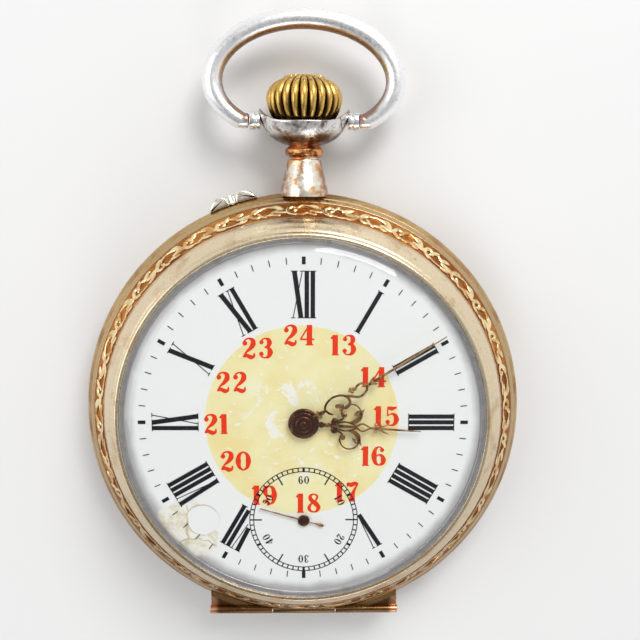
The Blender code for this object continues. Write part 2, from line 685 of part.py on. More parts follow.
def bow():
    """An open loop of round wire whose ends turn on pins in the pendant's ears."""
    drop = math.degrees(math.acos(BOW_PIVOT_X / BOW_HALF_WIDTH))
    side = arc(0, BOW_CENTRE_Y, BOW_HALF_WIDTH, -drop, 0, 4, radius_y=BOW_DROP)
    top = arc(0, BOW_CENTRE_Y, BOW_HALF_WIDTH, 0, 180, 14, radius_y=BOW_RISE)
    other = [(-x, y) for x, y in reversed(side)]
    points = side[:-1] + top + other[1:]
    curve = bpy.data.curves.new("bow", "CURVE")
    curve.dimensions = "3D"
    curve.bevel_depth = BOW_WIRE_R * MM
    curve.bevel_resolution = 1
    curve.use_fill_caps = True
    spline = curve.splines.new("POLY")
    spline.points.add(len(points) - 1)
    for point, (x, y) in zip(spline.points, points):
        point.co = (x * MM, (y - BOW_PIVOT_Y) * MM, 0, 1)
        thin = min(1.0, 0.8 + 0.2 * (y - BOW_PIVOT_Y) / 3)
        point.radius = thin
    wire = bpy.data.objects.new("bow_wire", curve)
    wire.location = Vector((0, BOW_PIVOT_Y, PENDANT_Z)) * MM
    PARTS.objects.link(wire)
    bpy.context.view_layer.update()
    piece = as_mesh(wire, "bow", SILVER)
    for sign in (-1, 1):
        turn = ALONG_X if sign > 0 else (0, -math.pi / 2, 0)
        at = (0, BOW_PIVOT_Y, PENDANT_Z)
        near, far = BOW_PIVOT_X - 0.82, BOW_PIVOT_X + 0.8
        ball = [(0, near), (0.8, near), (1.0, near + 0.32), (1.0, far - 0.4), (0.7, far), (0, far)]
        eye = turned("eye", ball, SILVER, at, turn, SMALL)
        pin_low, pin_high = EAR_X - 0.75, near + 0.42
        shank = [(0, pin_low), (BOW_PIN_R, pin_low), (BOW_PIN_R, pin_high), (0, pin_high)]
        pin = turned("pin", shank, SILVER, at, turn, SMALL)
        fuse(piece, eye, pin)
    return piece


# ---------------------------------------------------------------- winding


def crown():
    """A fluted onion crown: a turned form whose sides are waved by a formula."""
    foot, top = CROWN_FOOT_Y, CROWN_TOP_Y
    profile = [
        (0, foot - 1.3),
        (1.6, foot - 1.3),
        (2.2, foot),
        (CROWN_R - 0.95, foot),
        (CROWN_R - 0.5, foot + 0.6),
        (CROWN_R - 0.05, foot + 2.0),
        (CROWN_R - 0.15, top - 1.45),
        (CROWN_R - 0.95, top - 0.35),
        (CROWN_R - 1.85, top),
        (0, top),
    ]
    base = turned("crown_form", profile, GILT, (0, 0, PENDANT_Z), ALONG_Y, steps=2 * FLUTES)
    bpy.context.view_layer.update()
    piece = as_mesh(base, "crown", GILT)
    fluted_r = CROWN_R - 1.05
    for vertex in piece.data.vertices:
        radius = math.hypot(vertex.co.x, vertex.co.y) / MM
        if radius > fluted_r and foot - 0.1 < vertex.co.z / MM < top - 0.1:
            wave = math.cos(FLUTES * math.atan2(vertex.co.y, vertex.co.x))
            depth = 0.14 * min(1.0, (radius - fluted_r) / 0.6)
            scale = 1 - depth * (1 - wave) / radius
            vertex.co.x *= scale
            vertex.co.y *= scale
    bore = rod("stem_bore", STEM_R + 0.02, (0, foot - 2, PENDANT_Z), 4.4, GILT, ALONG_Y, SMALL)
    return cut(piece, bore)


def stem():
    """Round through the sleeve, square in the clutch, with a pilot at its inner end."""
    profile = [
        (0, CLUTCH_Y - 2.3),
        (0.3, CLUTCH_Y - 2.3),
        (0.3, CLUTCH_Y - 1.15),
        (STEM_SQUARE_R, CLUTCH_Y - 1.1),
        (STEM_SQUARE_R, CLUTCH_Y + CLUTCH_LONG + 0.05),
        (STEM_R, CLUTCH_Y + CLUTCH_LONG + 0.06),
        (STEM_R, CROWN_FOOT_Y + 2.2),
        (0, CROWN_FOOT_Y + 2.2),
    ]
    return turned("stem", profile, STEEL, (0, 0, PENDANT_Z), ALONG_Y, steps=SMALL)


def winding_pinion():
    """Meshes edge-on with the crown wheel, whose face lies just above its top tooth."""
    step = TAU / WINDING_TEETH
    low = CLUTCH_Y + CLUTCH_LONG + 0.12
    high = low + WINDING_LONG
    tip, root = 1.8, 1.35
    outline = []
    for i in range(WINDING_TEETH):
        # a tooth points to the crown wheel, which is world -Z and local +Y
        middle = math.pi / 2 + i * step
        outline += [
            polar(root, middle - 0.26 * step),
            polar(tip, middle - 0.07 * step),
            polar(tip, middle + 0.07 * step),
            polar(root, middle + 0.26 * step),
        ]
    bore = arc(0, 0, STEM_R + 0.03, 0, 360 - 22.5, 15)
    piece = plate("winding_pinion", [outline, bore], low, high, STEEL)
    piece.rotation_euler = ALONG_Y
    piece.location = Vector((0, (low + high) / 2, PENDANT_Z)) * MM
    return piece


def clutch():
    """The sliding piece on the stem's square, with a groove for the setting lever."""
    low, high = CLUTCH_Y, CLUTCH_Y + CLUTCH_LONG
    inner = STEM_SQUARE_R + RUN
    profile = [
        (inner, low),
        (CLUTCH_R, low),
        (CLUTCH_R, low + 0.45),
        (0.8, low + 0.5),
        (0.8, low + 1.0),
        (CLUTCH_R, low + 1.05),
        (CLUTCH_R, high),
        (inner, high),
    ]
    return turned("clutch", profile, STEEL, (0, 0, PENDANT_Z), ALONG_Y, steps=SMALL)


SETTING_LEVER_AT = (-9.6, 13.2)
LEVER_PIVOT_R = 0.3


def setting_lever():
    """A pin at the case's edge pushes its spur, and its nose slides the clutch inwards."""
    px, py = SETTING_LEVER_AT
    nose_x, nose_y = -CLUTCH_R + 0.1, CLUTCH_Y + 0.75
    spur_r = CASE_BORE_R - 0.18
    points = [
        (px + 0.4, py - 0.7),
        (nose_x - 0.6, nose_y - 0.45),
        (nose_x, nose_y - 0.16),
        (nose_x, nose_y + 0.16),
        (nose_x - 0.6, nose_y + 0.3),
        (-5.6, 14.9),
        polar(spur_r, SET_PIN_DIRECTION - 0.03),
        polar(spur_r, SET_PIN_DIRECTION + 0.03),
        (-6.7, 14.6),
        (px - 0.1, py + 0.6),
        (px - 0.7, py - 0.1),
    ]
    outline = [(x - px, y - py) for x, y in points]
    hole = arc(0, 0, LEVER_PIVOT_R + PIVOT_PLAY, 0, 324, 9)
    low, high = PENDANT_Z - 0.25, PENDANT_Z + 0.25
    return plate("setting_lever", [outline, hole], low, high, STEEL, SETTING_LEVER_AT)


def crown_wheel():
    hole = arc(0, 0, 1.3, 0, 337.5, 15)
    outline = wheel_outline(CROWN_WHEEL_TEETH, WINDING_MODULE, CROWN_WHEEL_PHASE, flat=0)
    low = BRIDGE_Z - 0.1 - 0.3
    return toothed("crown_wheel", outline, low, low + 0.3, STEEL, CROWN_WORK, [hole])


def crown_wheel_core():
    """The shouldered core that holds the crown wheel to the barrel bridge."""
    low = BRIDGE_Z - 0.65
    profile = [(0, low), (1.75, low), (1.75, low + 0.2), (1.22, low + 0.22), (1.22, BRIDGE_Z - 0.02), (0, BRIDGE_Z - 0.02)]
    return turned("crown_wheel_core", profile, STEEL, (*CROWN_WORK, 0), steps=SMALL)


def ratchet_wheel():
    outline = wheel_outline(RATCHET_TEETH, WINDING_MODULE, RATCHET_PHASE, flat=0)
    square = [(0.72, 0.72), (-0.72, 0.72), (-0.72, -0.72), (0.72, -0.72)]
    low = BRIDGE_Z - 0.1 - 0.3
    return toothed("ratchet_wheel", outline, low, low + 0.3, STEEL, BARREL, [square])


CLICK_AT = (13.9, 1.9)


def click():
    """A pawl beside the ratchet wheel. Its beak stays just outside the moving tips."""
    away = (BARREL[0] - CLICK_AT[0], BARREL[1] - CLICK_AT[1])
    line = math.atan2(away[1], away[0])
    tip_r = WINDING_MODULE * RATCHET_TEETH / 2 + 0.8 * WINDING_MODULE + 0.06
    reach = math.hypot(*away) - tip_r
    outline = [
        polar(0.85, line + 2.6),
        polar(0.85, line - 2.6),
        polar(0.85, line - 1.4),
        polar(reach - 0.35, line - 0.5),
        polar(reach, line - 0.06),
        polar(reach - 0.1, line + 0.25),
        polar(0.85, line + 1.4),
    ]
    hole = arc(0, 0, 0.36, 0, 324, 9)
    low = BRIDGE_Z - 0.4
    return plate("click", [outline, hole], low, low + 0.3, STEEL, CLICK_AT)


def click_screw():
    low = BRIDGE_Z - 0.62
    profile = [(0, low), (0.62, low), (0.62, low + 0.18), (0.31, low + 0.2), (0.31, BRIDGE_Z + 0.5), (0, BRIDGE_Z + 0.5)]
    return turned("click_screw", profile, BLUED, (*CLICK_AT, 0), steps=TINY)


def click_spring():
    """A bent wire spring that lies on the bridge behind the click."""
    line = math.atan2(CLICK_AT[1] - BARREL[1], CLICK_AT[0] - BARREL[0])
    centre = polar(1.4, line + 0.2, CLICK_AT)
    inner, outer = arc(0, 0, 2.2, 70, -70, 8), arc(0, 0, 2.5, -70, 70, 8)
    low = BRIDGE_Z - 0.35
    piece = plate("click_spring", [inner + outer], low, low + 0.25, STEEL, centre, line - 0.35)
    return piece


# ---------------------------------------------------------------- plate and bridges


def sector(inner, outer, start, end, steps=6):
    """The outline of a ring's sector, angles in degrees."""
    return arc(0, 0, outer, start, end, steps) + arc(0, 0, inner, end, start, steps)


def hole_cutter(radius, centre, low, high, steps=TINY):
    """A drill. Its corners are turned off the axes, so that none falls on a facet's edge."""
    drill = disc("hole", radius, low, high, BRASS, centre, steps)
    drill.rotation_euler = (0, 0, 0.13)
    return drill


BRIDGE_FOOT_Z = PLATE_Z - 0.02


def footed(name, outline, feet, holes, look):
    """A bridge: a flat plate on feet that stand on the mainplate, with its pivot holes."""
    top = BRIDGE_Z + BRIDGE_THICK
    piece = plate(name, [outline], BRIDGE_Z, top, look)
    fuse(piece, *[plate("foot", [foot], top - 0.2, BRIDGE_FOOT_Z, look) for foot in feet])
    return cut(piece, *[hole_cutter(r, c, BRIDGE_Z - 1, high) for r, c, high in holes])


PIVOT_R = 0.13
SCREW_R = 0.5
BARREL_BRIDGE_SCREWS = [polar(BRIDGE_R - 1.3, math.radians(a)) for a in (17, 70, 128)]
TRAIN_BRIDGE_SCREWS = [polar(BRIDGE_R - 1.9, math.radians(a)) for a in (-40, -110)]
COCK_DIRECTION = math.degrees(math.atan2(BALANCE_AT[1], BALANCE_AT[0]))
COCK_SCREW = polar(BRIDGE_R - 0.95, math.radians(COCK_DIRECTION))


def screw_hole(at):
    return (SCREW_R + 0.05, at, BRIDGE_FOOT_Z + 1)


def barrel_bridge():
    outline = arc(0, 0, BRIDGE_R, -8, 136, 18) + [
        (-8.3, 9.3),
        (-3.2, 5.2),
        (1.9, 2.4),
        (4.6, -1.4),
        (12.0, -2.5),
    ]
    feet = [
        sector(BRIDGE_R - 2.7, BRIDGE_R, -6, 24),
        sector(BRIDGE_R - 2.2, BRIDGE_R, 60, 80, 4),
        sector(BRIDGE_R - 2.7, BRIDGE_R, 121, 135, 3),
    ]
    holes = [(1.45, BARREL, 9), *[screw_hole(at) for at in BARREL_BRIDGE_SCREWS]]
    holes.append((0.36, CLICK_AT, 9))
    piece = footed("barrel_bridge", outline, feet, holes, BRASS)
    end, out = CLUTCH_Y - 1.3, CLUTCH_Y + 0.55
    lug_high = (0.9, end - 0.05, PENDANT_Z + 0.6)
    fuse(piece, block("stem_lug", (-0.9, end - 1.25, BRIDGE_Z + 0.4), lug_high, BRASS))
    slot_high = (2.1, BRIDGE_R + 0.8, BRIDGE_FOOT_Z)
    pinion_slot = block("pinion_slot", (-2.1, out, BRIDGE_Z - 1), slot_high, BRASS)
    pocket_high = (1.45, out + 0.1, PENDANT_Z + 1.4)
    clutch_pocket = block("clutch_pocket", (-1.45, end, BRIDGE_Z + 0.35), pocket_high, BRASS)
    pilot = rod("pilot_hole", 0.33, (0, end - 1.75, PENDANT_Z), 2.6, BRASS, ALONG_Y)
    return cut(piece, pinion_slot, clutch_pocket, pilot)


def train_bridge():
    outline = arc(0, 0, BRIDGE_R, -124, -12, 14) + [
        (12.2, -3.4),
        (4.9, -2.3),
        (1.9, 1.2),
        (0.0, 2.2),
        (-1.9, 1.2),
        (-2.4, -1.6),
        (-3.9, -6.2),
        (-6.9, -8.0),
        (-8.2, -12.2),
    ]
    feet = [sector(BRIDGE_R - 4.2, BRIDGE_R, -60, -18), sector(BRIDGE_R - 2.3, BRIDGE_R, -122, -100, 4)]
    pivots = [(PIVOT_R + PIVOT_PLAY, at, 9) for at in (THIRD, SECONDS, ESCAPE)]
    pivots.append((0.3 + PIVOT_PLAY, CENTRE, 9))
    holes = pivots + [screw_hole(at) for at in TRAIN_BRIDGE_SCREWS]
    return footed("train_bridge", outline, feet, holes, BRASS)


def balance_cock():
    bx, by = BALANCE_AT
    around = math.radians(COCK_DIRECTION)
    near = [polar(2.6, around + math.radians(a), BALANCE_AT) for a in range(70, 300, 20)]
    outline = arc(0, 0, BRIDGE_R, COCK_DIRECTION - 13, COCK_DIRECTION + 13, 6)
    waist = BRIDGE_R - 6.1
    outline += [polar(waist, around + 0.2), *near, polar(waist, around - 0.2)]
    foot = sector(BRIDGE_R - 1.8, BRIDGE_R, COCK_DIRECTION - 13, COCK_DIRECTION + 13, 6)
    holes = [(PIVOT_R + PIVOT_PLAY, BALANCE_AT, 9), (SCREW_R + 0.05, COCK_SCREW, 9)]
    return footed("balance_cock", outline, [foot], holes, BRASS)


def pallet_bridge():
    across = ESCAPE_TO_BALANCE + math.pi / 2
    ends = [polar(side * 3.4, across, PALLET) for side in (-1, 1)]
    outline = [
        polar(0.8, across + math.pi / 2, ends[0]),
        polar(0.9, across + math.pi, ends[0]),
        polar(0.8, across - math.pi / 2, ends[0]),
        polar(1.0, across - math.pi / 2, PALLET),
        polar(0.8, across - math.pi / 2, ends[1]),
        polar(0.9, across, ends[1]),
        polar(0.8, across + math.pi / 2, ends[1]),
        polar(1.0, across + math.pi / 2, PALLET),
    ]
    low, high = 5.6, 5.95
    piece = plate("pallet_bridge", [outline], low, high, BRASS)
    fuse(piece, *[disc("post", 0.6, high - 0.1, BRIDGE_FOOT_Z, BRASS, end, TINY) for end in ends])
    return cut(piece, hole_cutter(PIVOT_R + PIVOT_PLAY, PALLET, low - 1, high + 1))


def mainplate():
    profile = [
        (0, PLATE_Z),
        (PLATE_R, PLATE_Z),
        (PLATE_R, FLANGE_Z),
        (FLANGE_R, FLANGE_Z),
        (FLANGE_R, PLATE_TOP_Z),
        (DIAL_R + 0.15, PLATE_TOP_Z),
        (DIAL_R + 0.15, DIAL_SEAT_Z),
        (DIAL_R - 0.85, DIAL_SEAT_Z),
        (DIAL_R - 0.85, PLATE_TOP_Z),
        (0, PLATE_TOP_Z),
    ]
    piece = turned("mainplate", profile, BRASS, steps=COARSE)
    deep = PLATE_Z + 0.6
    pivots = [THIRD, ESCAPE, PALLET, BALANCE_AT]
    cutters = [hole_cutter(PIVOT_R + PIVOT_PLAY, at, 6, deep) for at in pivots]
    cutters.append(hole_cutter(0.75, CENTRE, 6, 10, SMALL))
    cutters.append(hole_cutter(0.35, SECONDS, 6, 10))
    cutters.append(hole_cutter(0.4, SETTING, 6, 10))
    cutters.append(hole_cutter(0.66, BARREL, 6, deep, SMALL))
    for at in (*BARREL_BRIDGE_SCREWS, *TRAIN_BRIDGE_SCREWS, COCK_SCREW):
        cutters.append(hole_cutter(0.34, at, 6, deep))
    cut(piece, *cutters)
    post = disc("minute_post", 0.4, PLATE_TOP_Z - 0.2, DIAL_SEAT_Z - 0.15, BRASS, MINUTE_WORK)
    lever_post = disc("lever_post", LEVER_PIVOT_R, PENDANT_Z - 0.3, PLATE_Z + 0.3, BRASS, SETTING_LEVER_AT)
    return fuse(piece, post, lever_post)


def bridge_screw(name, at):
    """A blued screw: slotted head sunk in the bridge, shank into the mainplate."""
    head, under = BRIDGE_Z - 0.25, BRIDGE_Z - 0.03
    profile = [(0, head), (0.85, head), (0.85, under), (0.3, under), (0.3, PLATE_Z + 0.5), (0, PLATE_Z + 0.5)]
    piece = turned(name, profile, BLUED, (*at, 0), steps=TINY)
    slot = block("slot", (-0.09, -1, head - 0.2), (0.09, 1, head + 0.1), BLUED)
    slot.location += Vector((*at, 0)) * MM
    return cut(piece, slot)


# ---------------------------------------------------------------- going train


def spiral(inner, outer, turns, thickness, points_a_turn=12):
    """The outline of a flat strip wound in a spiral, and the least gap between its turns."""
    total = int(turns * points_a_turn)
    pitch = (outer - inner - thickness) / turns
    middle = [inner + thickness / 2 + pitch * i / points_a_turn for i in range(total + 1)]
    angles = [TAU * i / points_a_turn for i in range(total + 1)]
    one = [polar(r - thickness / 2, a) for r, a in zip(middle, angles)]
    other = [polar(r + thickness / 2, a) for r, a in zip(middle, angles)]
    gap = min(math.dist(a, b) for a, b in zip(other, one[points_a_turn:]))
    return one + other[::-1], gap


def barrel():
    wall, low, high = 0.4, 4.7, 7.0
    drum = [
        (0.75, high - 0.3),
        (7.1 - wall, high - 0.3),
        (7.1 - wall, low),
        (7.25, low),
        (7.25, low + 0.4),
        (7.1, low + 0.4),
        (7.1, high),
        (0.75, high),
    ]
    teeth_low = 4.75
    hole = arc(0, 0, 6.9, 0, 345, 23)
    outline = wheel_outline(BARREL_TEETH, BARREL_MODULE, BARREL_PHASE, flat=0)
    piece = toothed("barrel", outline, teeth_low, teeth_low + 0.35, BRASS, BARREL, [hole])
    return fuse(piece, turned("drum", drum, BRASS, (*BARREL, 0), steps=COARSE))


def barrel_cover():
    return disc("barrel_cover", 6.66, 4.72, 4.95, BRASS, BARREL, COARSE, bore=0.75)


def barrel_arbor():
    low = BRIDGE_Z - 0.55
    piece = arbor(
        "barrel_arbor",
        [(BRIDGE_Z + 0.02, 1.3), (4.6, 0.7), (5.05, 1.35), (6.6, 0.7), (7.05, 0.6), (7.6, 0)],
        STEEL,
        BARREL,
        SMALL,
    )
    side = 0.7
    square = block("square", (-side, -side, low), (side, side, BRIDGE_Z + 0.2), STEEL)
    square.location += Vector((*BARREL, 0)) * MM
    return fuse(piece, square)


def ratchet_screw():
    low = BRIDGE_Z - 0.8
    profile = [(0, low), (1.5, low), (1.5, low + 0.2), (0, low + 0.2)]
    piece = turned("ratchet_screw", profile, BLUED, (*BARREL, 0), steps=SMALL)
    slot = block("slot", (-0.12, -2, low - 0.2), (0.12, 2, low + 0.1), BLUED)
    slot.location += Vector((*BARREL, 0)) * MM
    return cut(piece, slot)


def mainspring():
    outline, gap = spiral(1.5, 6.6, 6, 0.2)
    print(f"mainspring: least gap between turns {gap:.2f} mm")
    return plate("mainspring", [outline], 5.1, 6.55, STEEL, BARREL)


def geared_arbor(name, wheel, leaves, shaft, centre):
    """A wheel and a pinion on one arbor. wheel and leaves are (outline, openings, low, high)."""
    outline, openings, low, high = wheel
    piece = toothed(name, outline, low, high, BRASS, centre, openings)
    pinion, low, high = leaves
    fuse(piece, toothed("leaves", pinion, low, high, STEEL, centre))
    return fuse(piece, arbor("shaft", shaft, STEEL, centre))


def centre_wheel():
    wheel = wheel_outline(CENTRE_TEETH, CENTRE_MODULE, CENTRE_PHASE, flat=0)
    leaves = leaf_outline(CENTRE_LEAVES, BARREL_MODULE, CENTRE_LEAF_PHASE)
    shaft = [(3.4, 0.3), (3.9, 0.7), (6.3, 0.5), (MINUTE_HAND_Z - 0.1, 0)]
    openings = spoke_openings(4, 1.4, 5.5, 0.7)
    return geared_arbor("centre_wheel", (wheel, openings, 4.15, 4.4), (leaves, 4.35, 6.1), shaft, CENTRE)


def third_wheel():
    wheel = wheel_outline(THIRD_TEETH, THIRD_MODULE, THIRD_PHASE, flat=0)
    leaves = leaf_outline(THIRD_LEAVES, CENTRE_MODULE, THIRD_LEAF_PHASE)
    shaft = [(3.4, PIVOT_R), (3.9, 0.4), (6.9, PIVOT_R), (PLATE_Z + 0.4, 0)]
    openings = spoke_openings(4, 1.1, 4.4, 0.6)
    return geared_arbor("third_wheel", (wheel, openings, 6.3, 6.5), (leaves, 4.0, 4.75), shaft, THIRD)


def fourth_wheel():
    wheel = wheel_outline(FOURTH_TEETH, FOURTH_MODULE, FOURTH_PHASE, flat=0)
    leaves = leaf_outline(FOURTH_LEAVES, THIRD_MODULE, FOURTH_LEAF_PHASE)
    shaft = [(3.4, PIVOT_R), (3.9, 0.35), (6.9, 0.25), (SECOND_HAND_Z - 0.05, 0)]
    openings = spoke_openings(4, 1.1, 4.5, 0.6)
    return geared_arbor("fourth_wheel", (wheel, openings, 4.8, 5.0), (leaves, 6.0, 6.8), shaft, SECONDS)


def escape_wheel():
    """Fifteen raked club teeth on a light rim."""
    step = TAU / ESCAPE_TEETH
    outline = []
    for i in range(ESCAPE_TEETH):
        middle = i * step
        outline += [
            polar(2.55, middle - 0.32 * step),
            polar(2.6, middle - 0.05 * step),
            polar(ESCAPE_R - 0.08, middle + 0.1 * step),
            polar(ESCAPE_R, middle + 0.2 * step),
            polar(2.9, middle + 0.14 * step),
        ]
    leaves = leaf_outline(ESCAPE_LEAVES, FOURTH_MODULE, ESCAPE_LEAF_PHASE)
    shaft = [(3.4, PIVOT_R), (3.9, 0.28), (6.9, PIVOT_R), (PLATE_Z + 0.4, 0)]
    openings = spoke_openings(4, 0.8, 2.2, 0.45)
    return geared_arbor("escape_wheel", (outline, openings, 6.2, 6.4), (leaves, 4.5, 5.3), shaft, ESCAPE)


def pallet_fork():
    """The lever: a notch towards the balance, two arms with stones over the escape wheel."""
    half = [
        (3.3, 0.28),
        (3.3, 0.55),
        (2.75, 0.42),
        (1.2, 0.2),
        (0.55, 0.4),
        (0.1, 1.35),
        (-0.35, 2.35),
        (-0.6, 2.25),
        (-0.78, 1.95),
        (-0.68, 1.7),
        (-0.35, 1.55),
        (-0.35, 0.5),
        (-0.5, 0.2),
    ]
    outline = [(2.9, 0.22), *half, *[(x, -y) for x, y in reversed(half)], (2.9, -0.22)]
    piece = plate("pallet_fork", [outline], 6.1, 6.45, STEEL, PALLET, ESCAPE_TO_BALANCE)
    staff = arbor("staff", [(5.65, PIVOT_R), (5.99, 0.25), (6.9, PIVOT_R), (PLATE_Z + 0.4, 0)], STEEL, PALLET)
    return fuse(piece, staff)


def balance():
    """Rim with timing screws, two arms, staff and roller with its impulse pin."""
    low, high = 4.7, 5.5
    inner = BALANCE_R - BALANCE_RIM
    rim = disc("balance", BALANCE_R, low, high, BRASS, BALANCE_AT, COARSE, bore=inner)
    toward = ESCAPE_TO_BALANCE + math.pi
    arm = [(-inner - 0.3, -0.45), (inner + 0.3, -0.45), (inner + 0.3, 0.45), (-inner - 0.3, 0.45)]
    arms = plate("arms", [arm], low, low + 0.3, BRASS, BALANCE_AT, toward)
    hub = disc("hub", 1.2, low - 0.1, low + 0.4, BRASS, BALANCE_AT)
    staff = arbor(
        "staff",
        [(3.4, PIVOT_R), (4.0, 0.42), (5.7, ROLLER_R + 0.3), (5.98, 0.35), (6.9, PIVOT_R), (PLATE_Z + 0.4, 0)],
        STEEL,
        BALANCE_AT,
        SMALL,
    )
    fuse(rim, arms, hub, staff)
    pin_at = polar(ROLLER_R, toward, BALANCE_AT)
    fuse(rim, disc("impulse_pin", 0.14, 5.85, 6.5, RUBY, pin_at, TINY))
    count = 8
    for i in range(count):
        out = toward + TAU * (i + 0.5) / count
        start = polar(BALANCE_R - 0.3, out, BALANCE_AT)
        at = (*start, (low + high) / 2)
        fuse(rim, rod("timing_screw", 0.26, at, 0.62, BRASS, (0, math.pi / 2, out), 6))
    return rim


def hairspring():
    outline, gap = spiral(0.55, 3.0, 4.5, 0.1)
    print(f"hairspring: least gap between turns {gap:.2f} mm")
    return plate("hairspring", [outline], 4.12, 4.4, BLUED, BALANCE_AT, ESCAPE_TO_BALANCE)


def balance_jewel():
    return disc("balance_jewel", 0.75, BRIDGE_Z - 0.2, BRIDGE_Z - 0.02, RUBY, BALANCE_AT)


def regulator():
    """A ring around the end stone with its pointer along the cock."""
    around = math.radians(COCK_DIRECTION)
    ring = disc("regulator", 1.5, BRIDGE_Z - 0.3, BRIDGE_Z - 0.05, STEEL, BALANCE_AT, 20, bore=0.85)
    pointer = plate(
        "pointer", [[(1.2, 0.35), (1.2, -0.35), (5.2, -0.08), (5.2, 0.08)]], BRIDGE_Z - 0.28, BRIDGE_Z - 0.07, STEEL, BALANCE_AT, around
    )
    tail = plate(
        "tail", [[(1.2, 0.3), (1.2, -0.3), (2.1, -0.3), (2.1, 0.3)]], BRIDGE_Z - 0.28, BRIDGE_Z - 0.07, STEEL, BALANCE_AT, around + math.pi
    )
    return fuse(ring, pointer, tail)


# ---------------------------------------------------------------- motion work, dial and hands


def cannon_pinion():
    outline = leaf_outline(CANNON_TEETH, MOTION_MODULE, CANNON_PHASE)
    bore = 0.5 + 0.02
    hole = arc(0, 0, bore, 0, 324, 9)
    piece = toothed("cannon_pinion", outline, MOTION_Z, MOTION_Z + 0.4, STEEL, CENTRE, [hole])
    pipe = disc("pipe", 0.78, MOTION_Z + 0.3, MINUTE_HAND_Z + HAND_THICK, STEEL, CENTRE, SMALL, bore=bore)
    return fuse(piece, pipe)


def hour_wheel():
    outline = wheel_outline(HOUR_TEETH, HOUR_MODULE, HOUR_PHASE, flat=0)
    low, bore = MOTION_Z + 0.48, 0.78 + 0.04
    hole = arc(0, 0, bore, 0, 337.5, 15)
    piece = toothed("hour_wheel", outline, low, low + 0.2, BRASS, CENTRE, [hole])
    pipe = disc("pipe", 1.15, low, HOUR_HAND_Z + HAND_THICK, BRASS, CENTRE, SMALL, bore=bore)
    return fuse(piece, pipe)


def minute_wheel():
    bore = 0.4 + 0.04
    hole = arc(0, 0, bore, 0, 324, 9)
    outline = wheel_outline(MINUTE_TEETH, MOTION_MODULE, MINUTE_PHASE, flat=0)
    piece = toothed("minute_wheel", outline, MOTION_Z + 0.1, MOTION_Z + 0.3, BRASS, MINUTE_WORK, [hole])
    leaves = leaf_outline(MINUTE_LEAVES, HOUR_MODULE, MINUTE_LEAF_PHASE)
    return fuse(piece, toothed("leaves", leaves, MOTION_Z + 0.2, MOTION_Z + 0.7, BRASS, MINUTE_WORK, [hole]))


def setting_wheel():
    """Two wheels on one arbor through the mainplate: clutch side and motion-work side."""
    outline = wheel_outline(SETTING_TEETH, MOTION_MODULE, SETTING_PHASE, flat=0)
    piece = toothed("setting_wheel", outline, MOTION_Z + 0.1, MOTION_Z + 0.3, STEEL, SETTING)
    clutch_side = wheel_outline(12, 0.285, 0.0)
    fuse(piece, toothed("clutch_side", clutch_side, 5.4, 5.7, STEEL, SETTING))
    return fuse(piece, arbor("shaft", [(5.25, 0.34), (MOTION_Z + 0.45, 0)], STEEL, SETTING))


def dial():
    piece = disc("dial", DIAL_R, DIAL_Z, DIAL_TOP_Z, ENAMEL, CENTRE, FINE, bore=1.35)
    cut(piece, hole_cutter(0.4, SECONDS, DIAL_Z - 1, DIAL_TOP_Z + 1))
    feet = [polar(DIAL_R - 3.05, math.radians(a)) for a in (30, 160, 285)]
    return fuse(piece, *[disc("foot", 0.4, PLATE_TOP_Z + 0.03, DIAL_Z + 0.3, COPPER, at) for at in feet])


def hand(name, half, openings, low, hole_r, centre, degrees, look=GILT):
    """A flat hand, drawn pointing to twelve: half its outline, mirrored, and its openings."""
    outline = list(half) + [(-x, y) for x, y in reversed(half) if x > 0]
    hole = arc(0, 0, hole_r, 0, 337.5, 15)
    return plate(
        name, [outline, hole, *openings], low, low + HAND_THICK, look, centre, -math.radians(degrees)
    )


def drop_opening(low, high, width):
    """A pierced drop shape along a hand."""
    middle = (low + high) / 2
    tall = (high - low) / 2
    return [(width * math.sin(a) / 2, middle - tall * math.cos(a)) for a in (TAU * i / 8 for i in range(8))]


def minute_hand():
    half = [
        (0, -1.7),
        (0.9, -1.5),
        (1.5, -0.8),
        (1.7, 0),
        (1.5, 0.8),
        (0.9, 1.45),
        (0.55, 2.0),
        (1.35, 2.9),
        (1.0, 3.9),
        (0.45, 4.6),
        (1.2, 5.6),
        (1.0, 6.8),
        (0.45, 7.7),
        (0.9, 8.6),
        (0.75, 9.5),
        (0.3, 10.3),
        (0.6, 11.3),
        (0.28, 12.2),
        (0.16, MINUTE_HAND_LENGTH - 0.6),
        (0, MINUTE_HAND_LENGTH),
    ]
    openings = [drop_opening(2.4, 3.9, 1.1), drop_opening(5.0, 7.0, 1.1), drop_opening(8.2, 9.6, 0.7)]
    return hand("minute_hand", half, openings, MINUTE_HAND_Z, 0.8, CENTRE, MINUTE_HAND_AT)


def hour_hand():
    half = [
        (0, -2.0),
        (1.1, -1.7),
        (1.8, -0.9),
        (2.0, 0),
        (1.8, 0.9),
        (1.1, 1.7),
        (0.7, 2.3),
        (1.7, 3.4),
        (1.2, 4.6),
        (0.5, 5.3),
        (1.6, 6.6),
        (1.2, 8.0),
        (0.5, 8.8),
        (0.95, 9.8),
        (0.35, 10.7),
        (0.16, 12.4),
        (0, HOUR_HAND_LENGTH),
    ]
    openings = [drop_opening(2.9, 4.5, 1.5), drop_opening(5.9, 8.1, 1.5), drop_opening(9.3, 10.2, 0.7)]
    return hand("hour_hand", half, openings, HOUR_HAND_Z, 1.17, CENTRE, HOUR_HAND_AT)


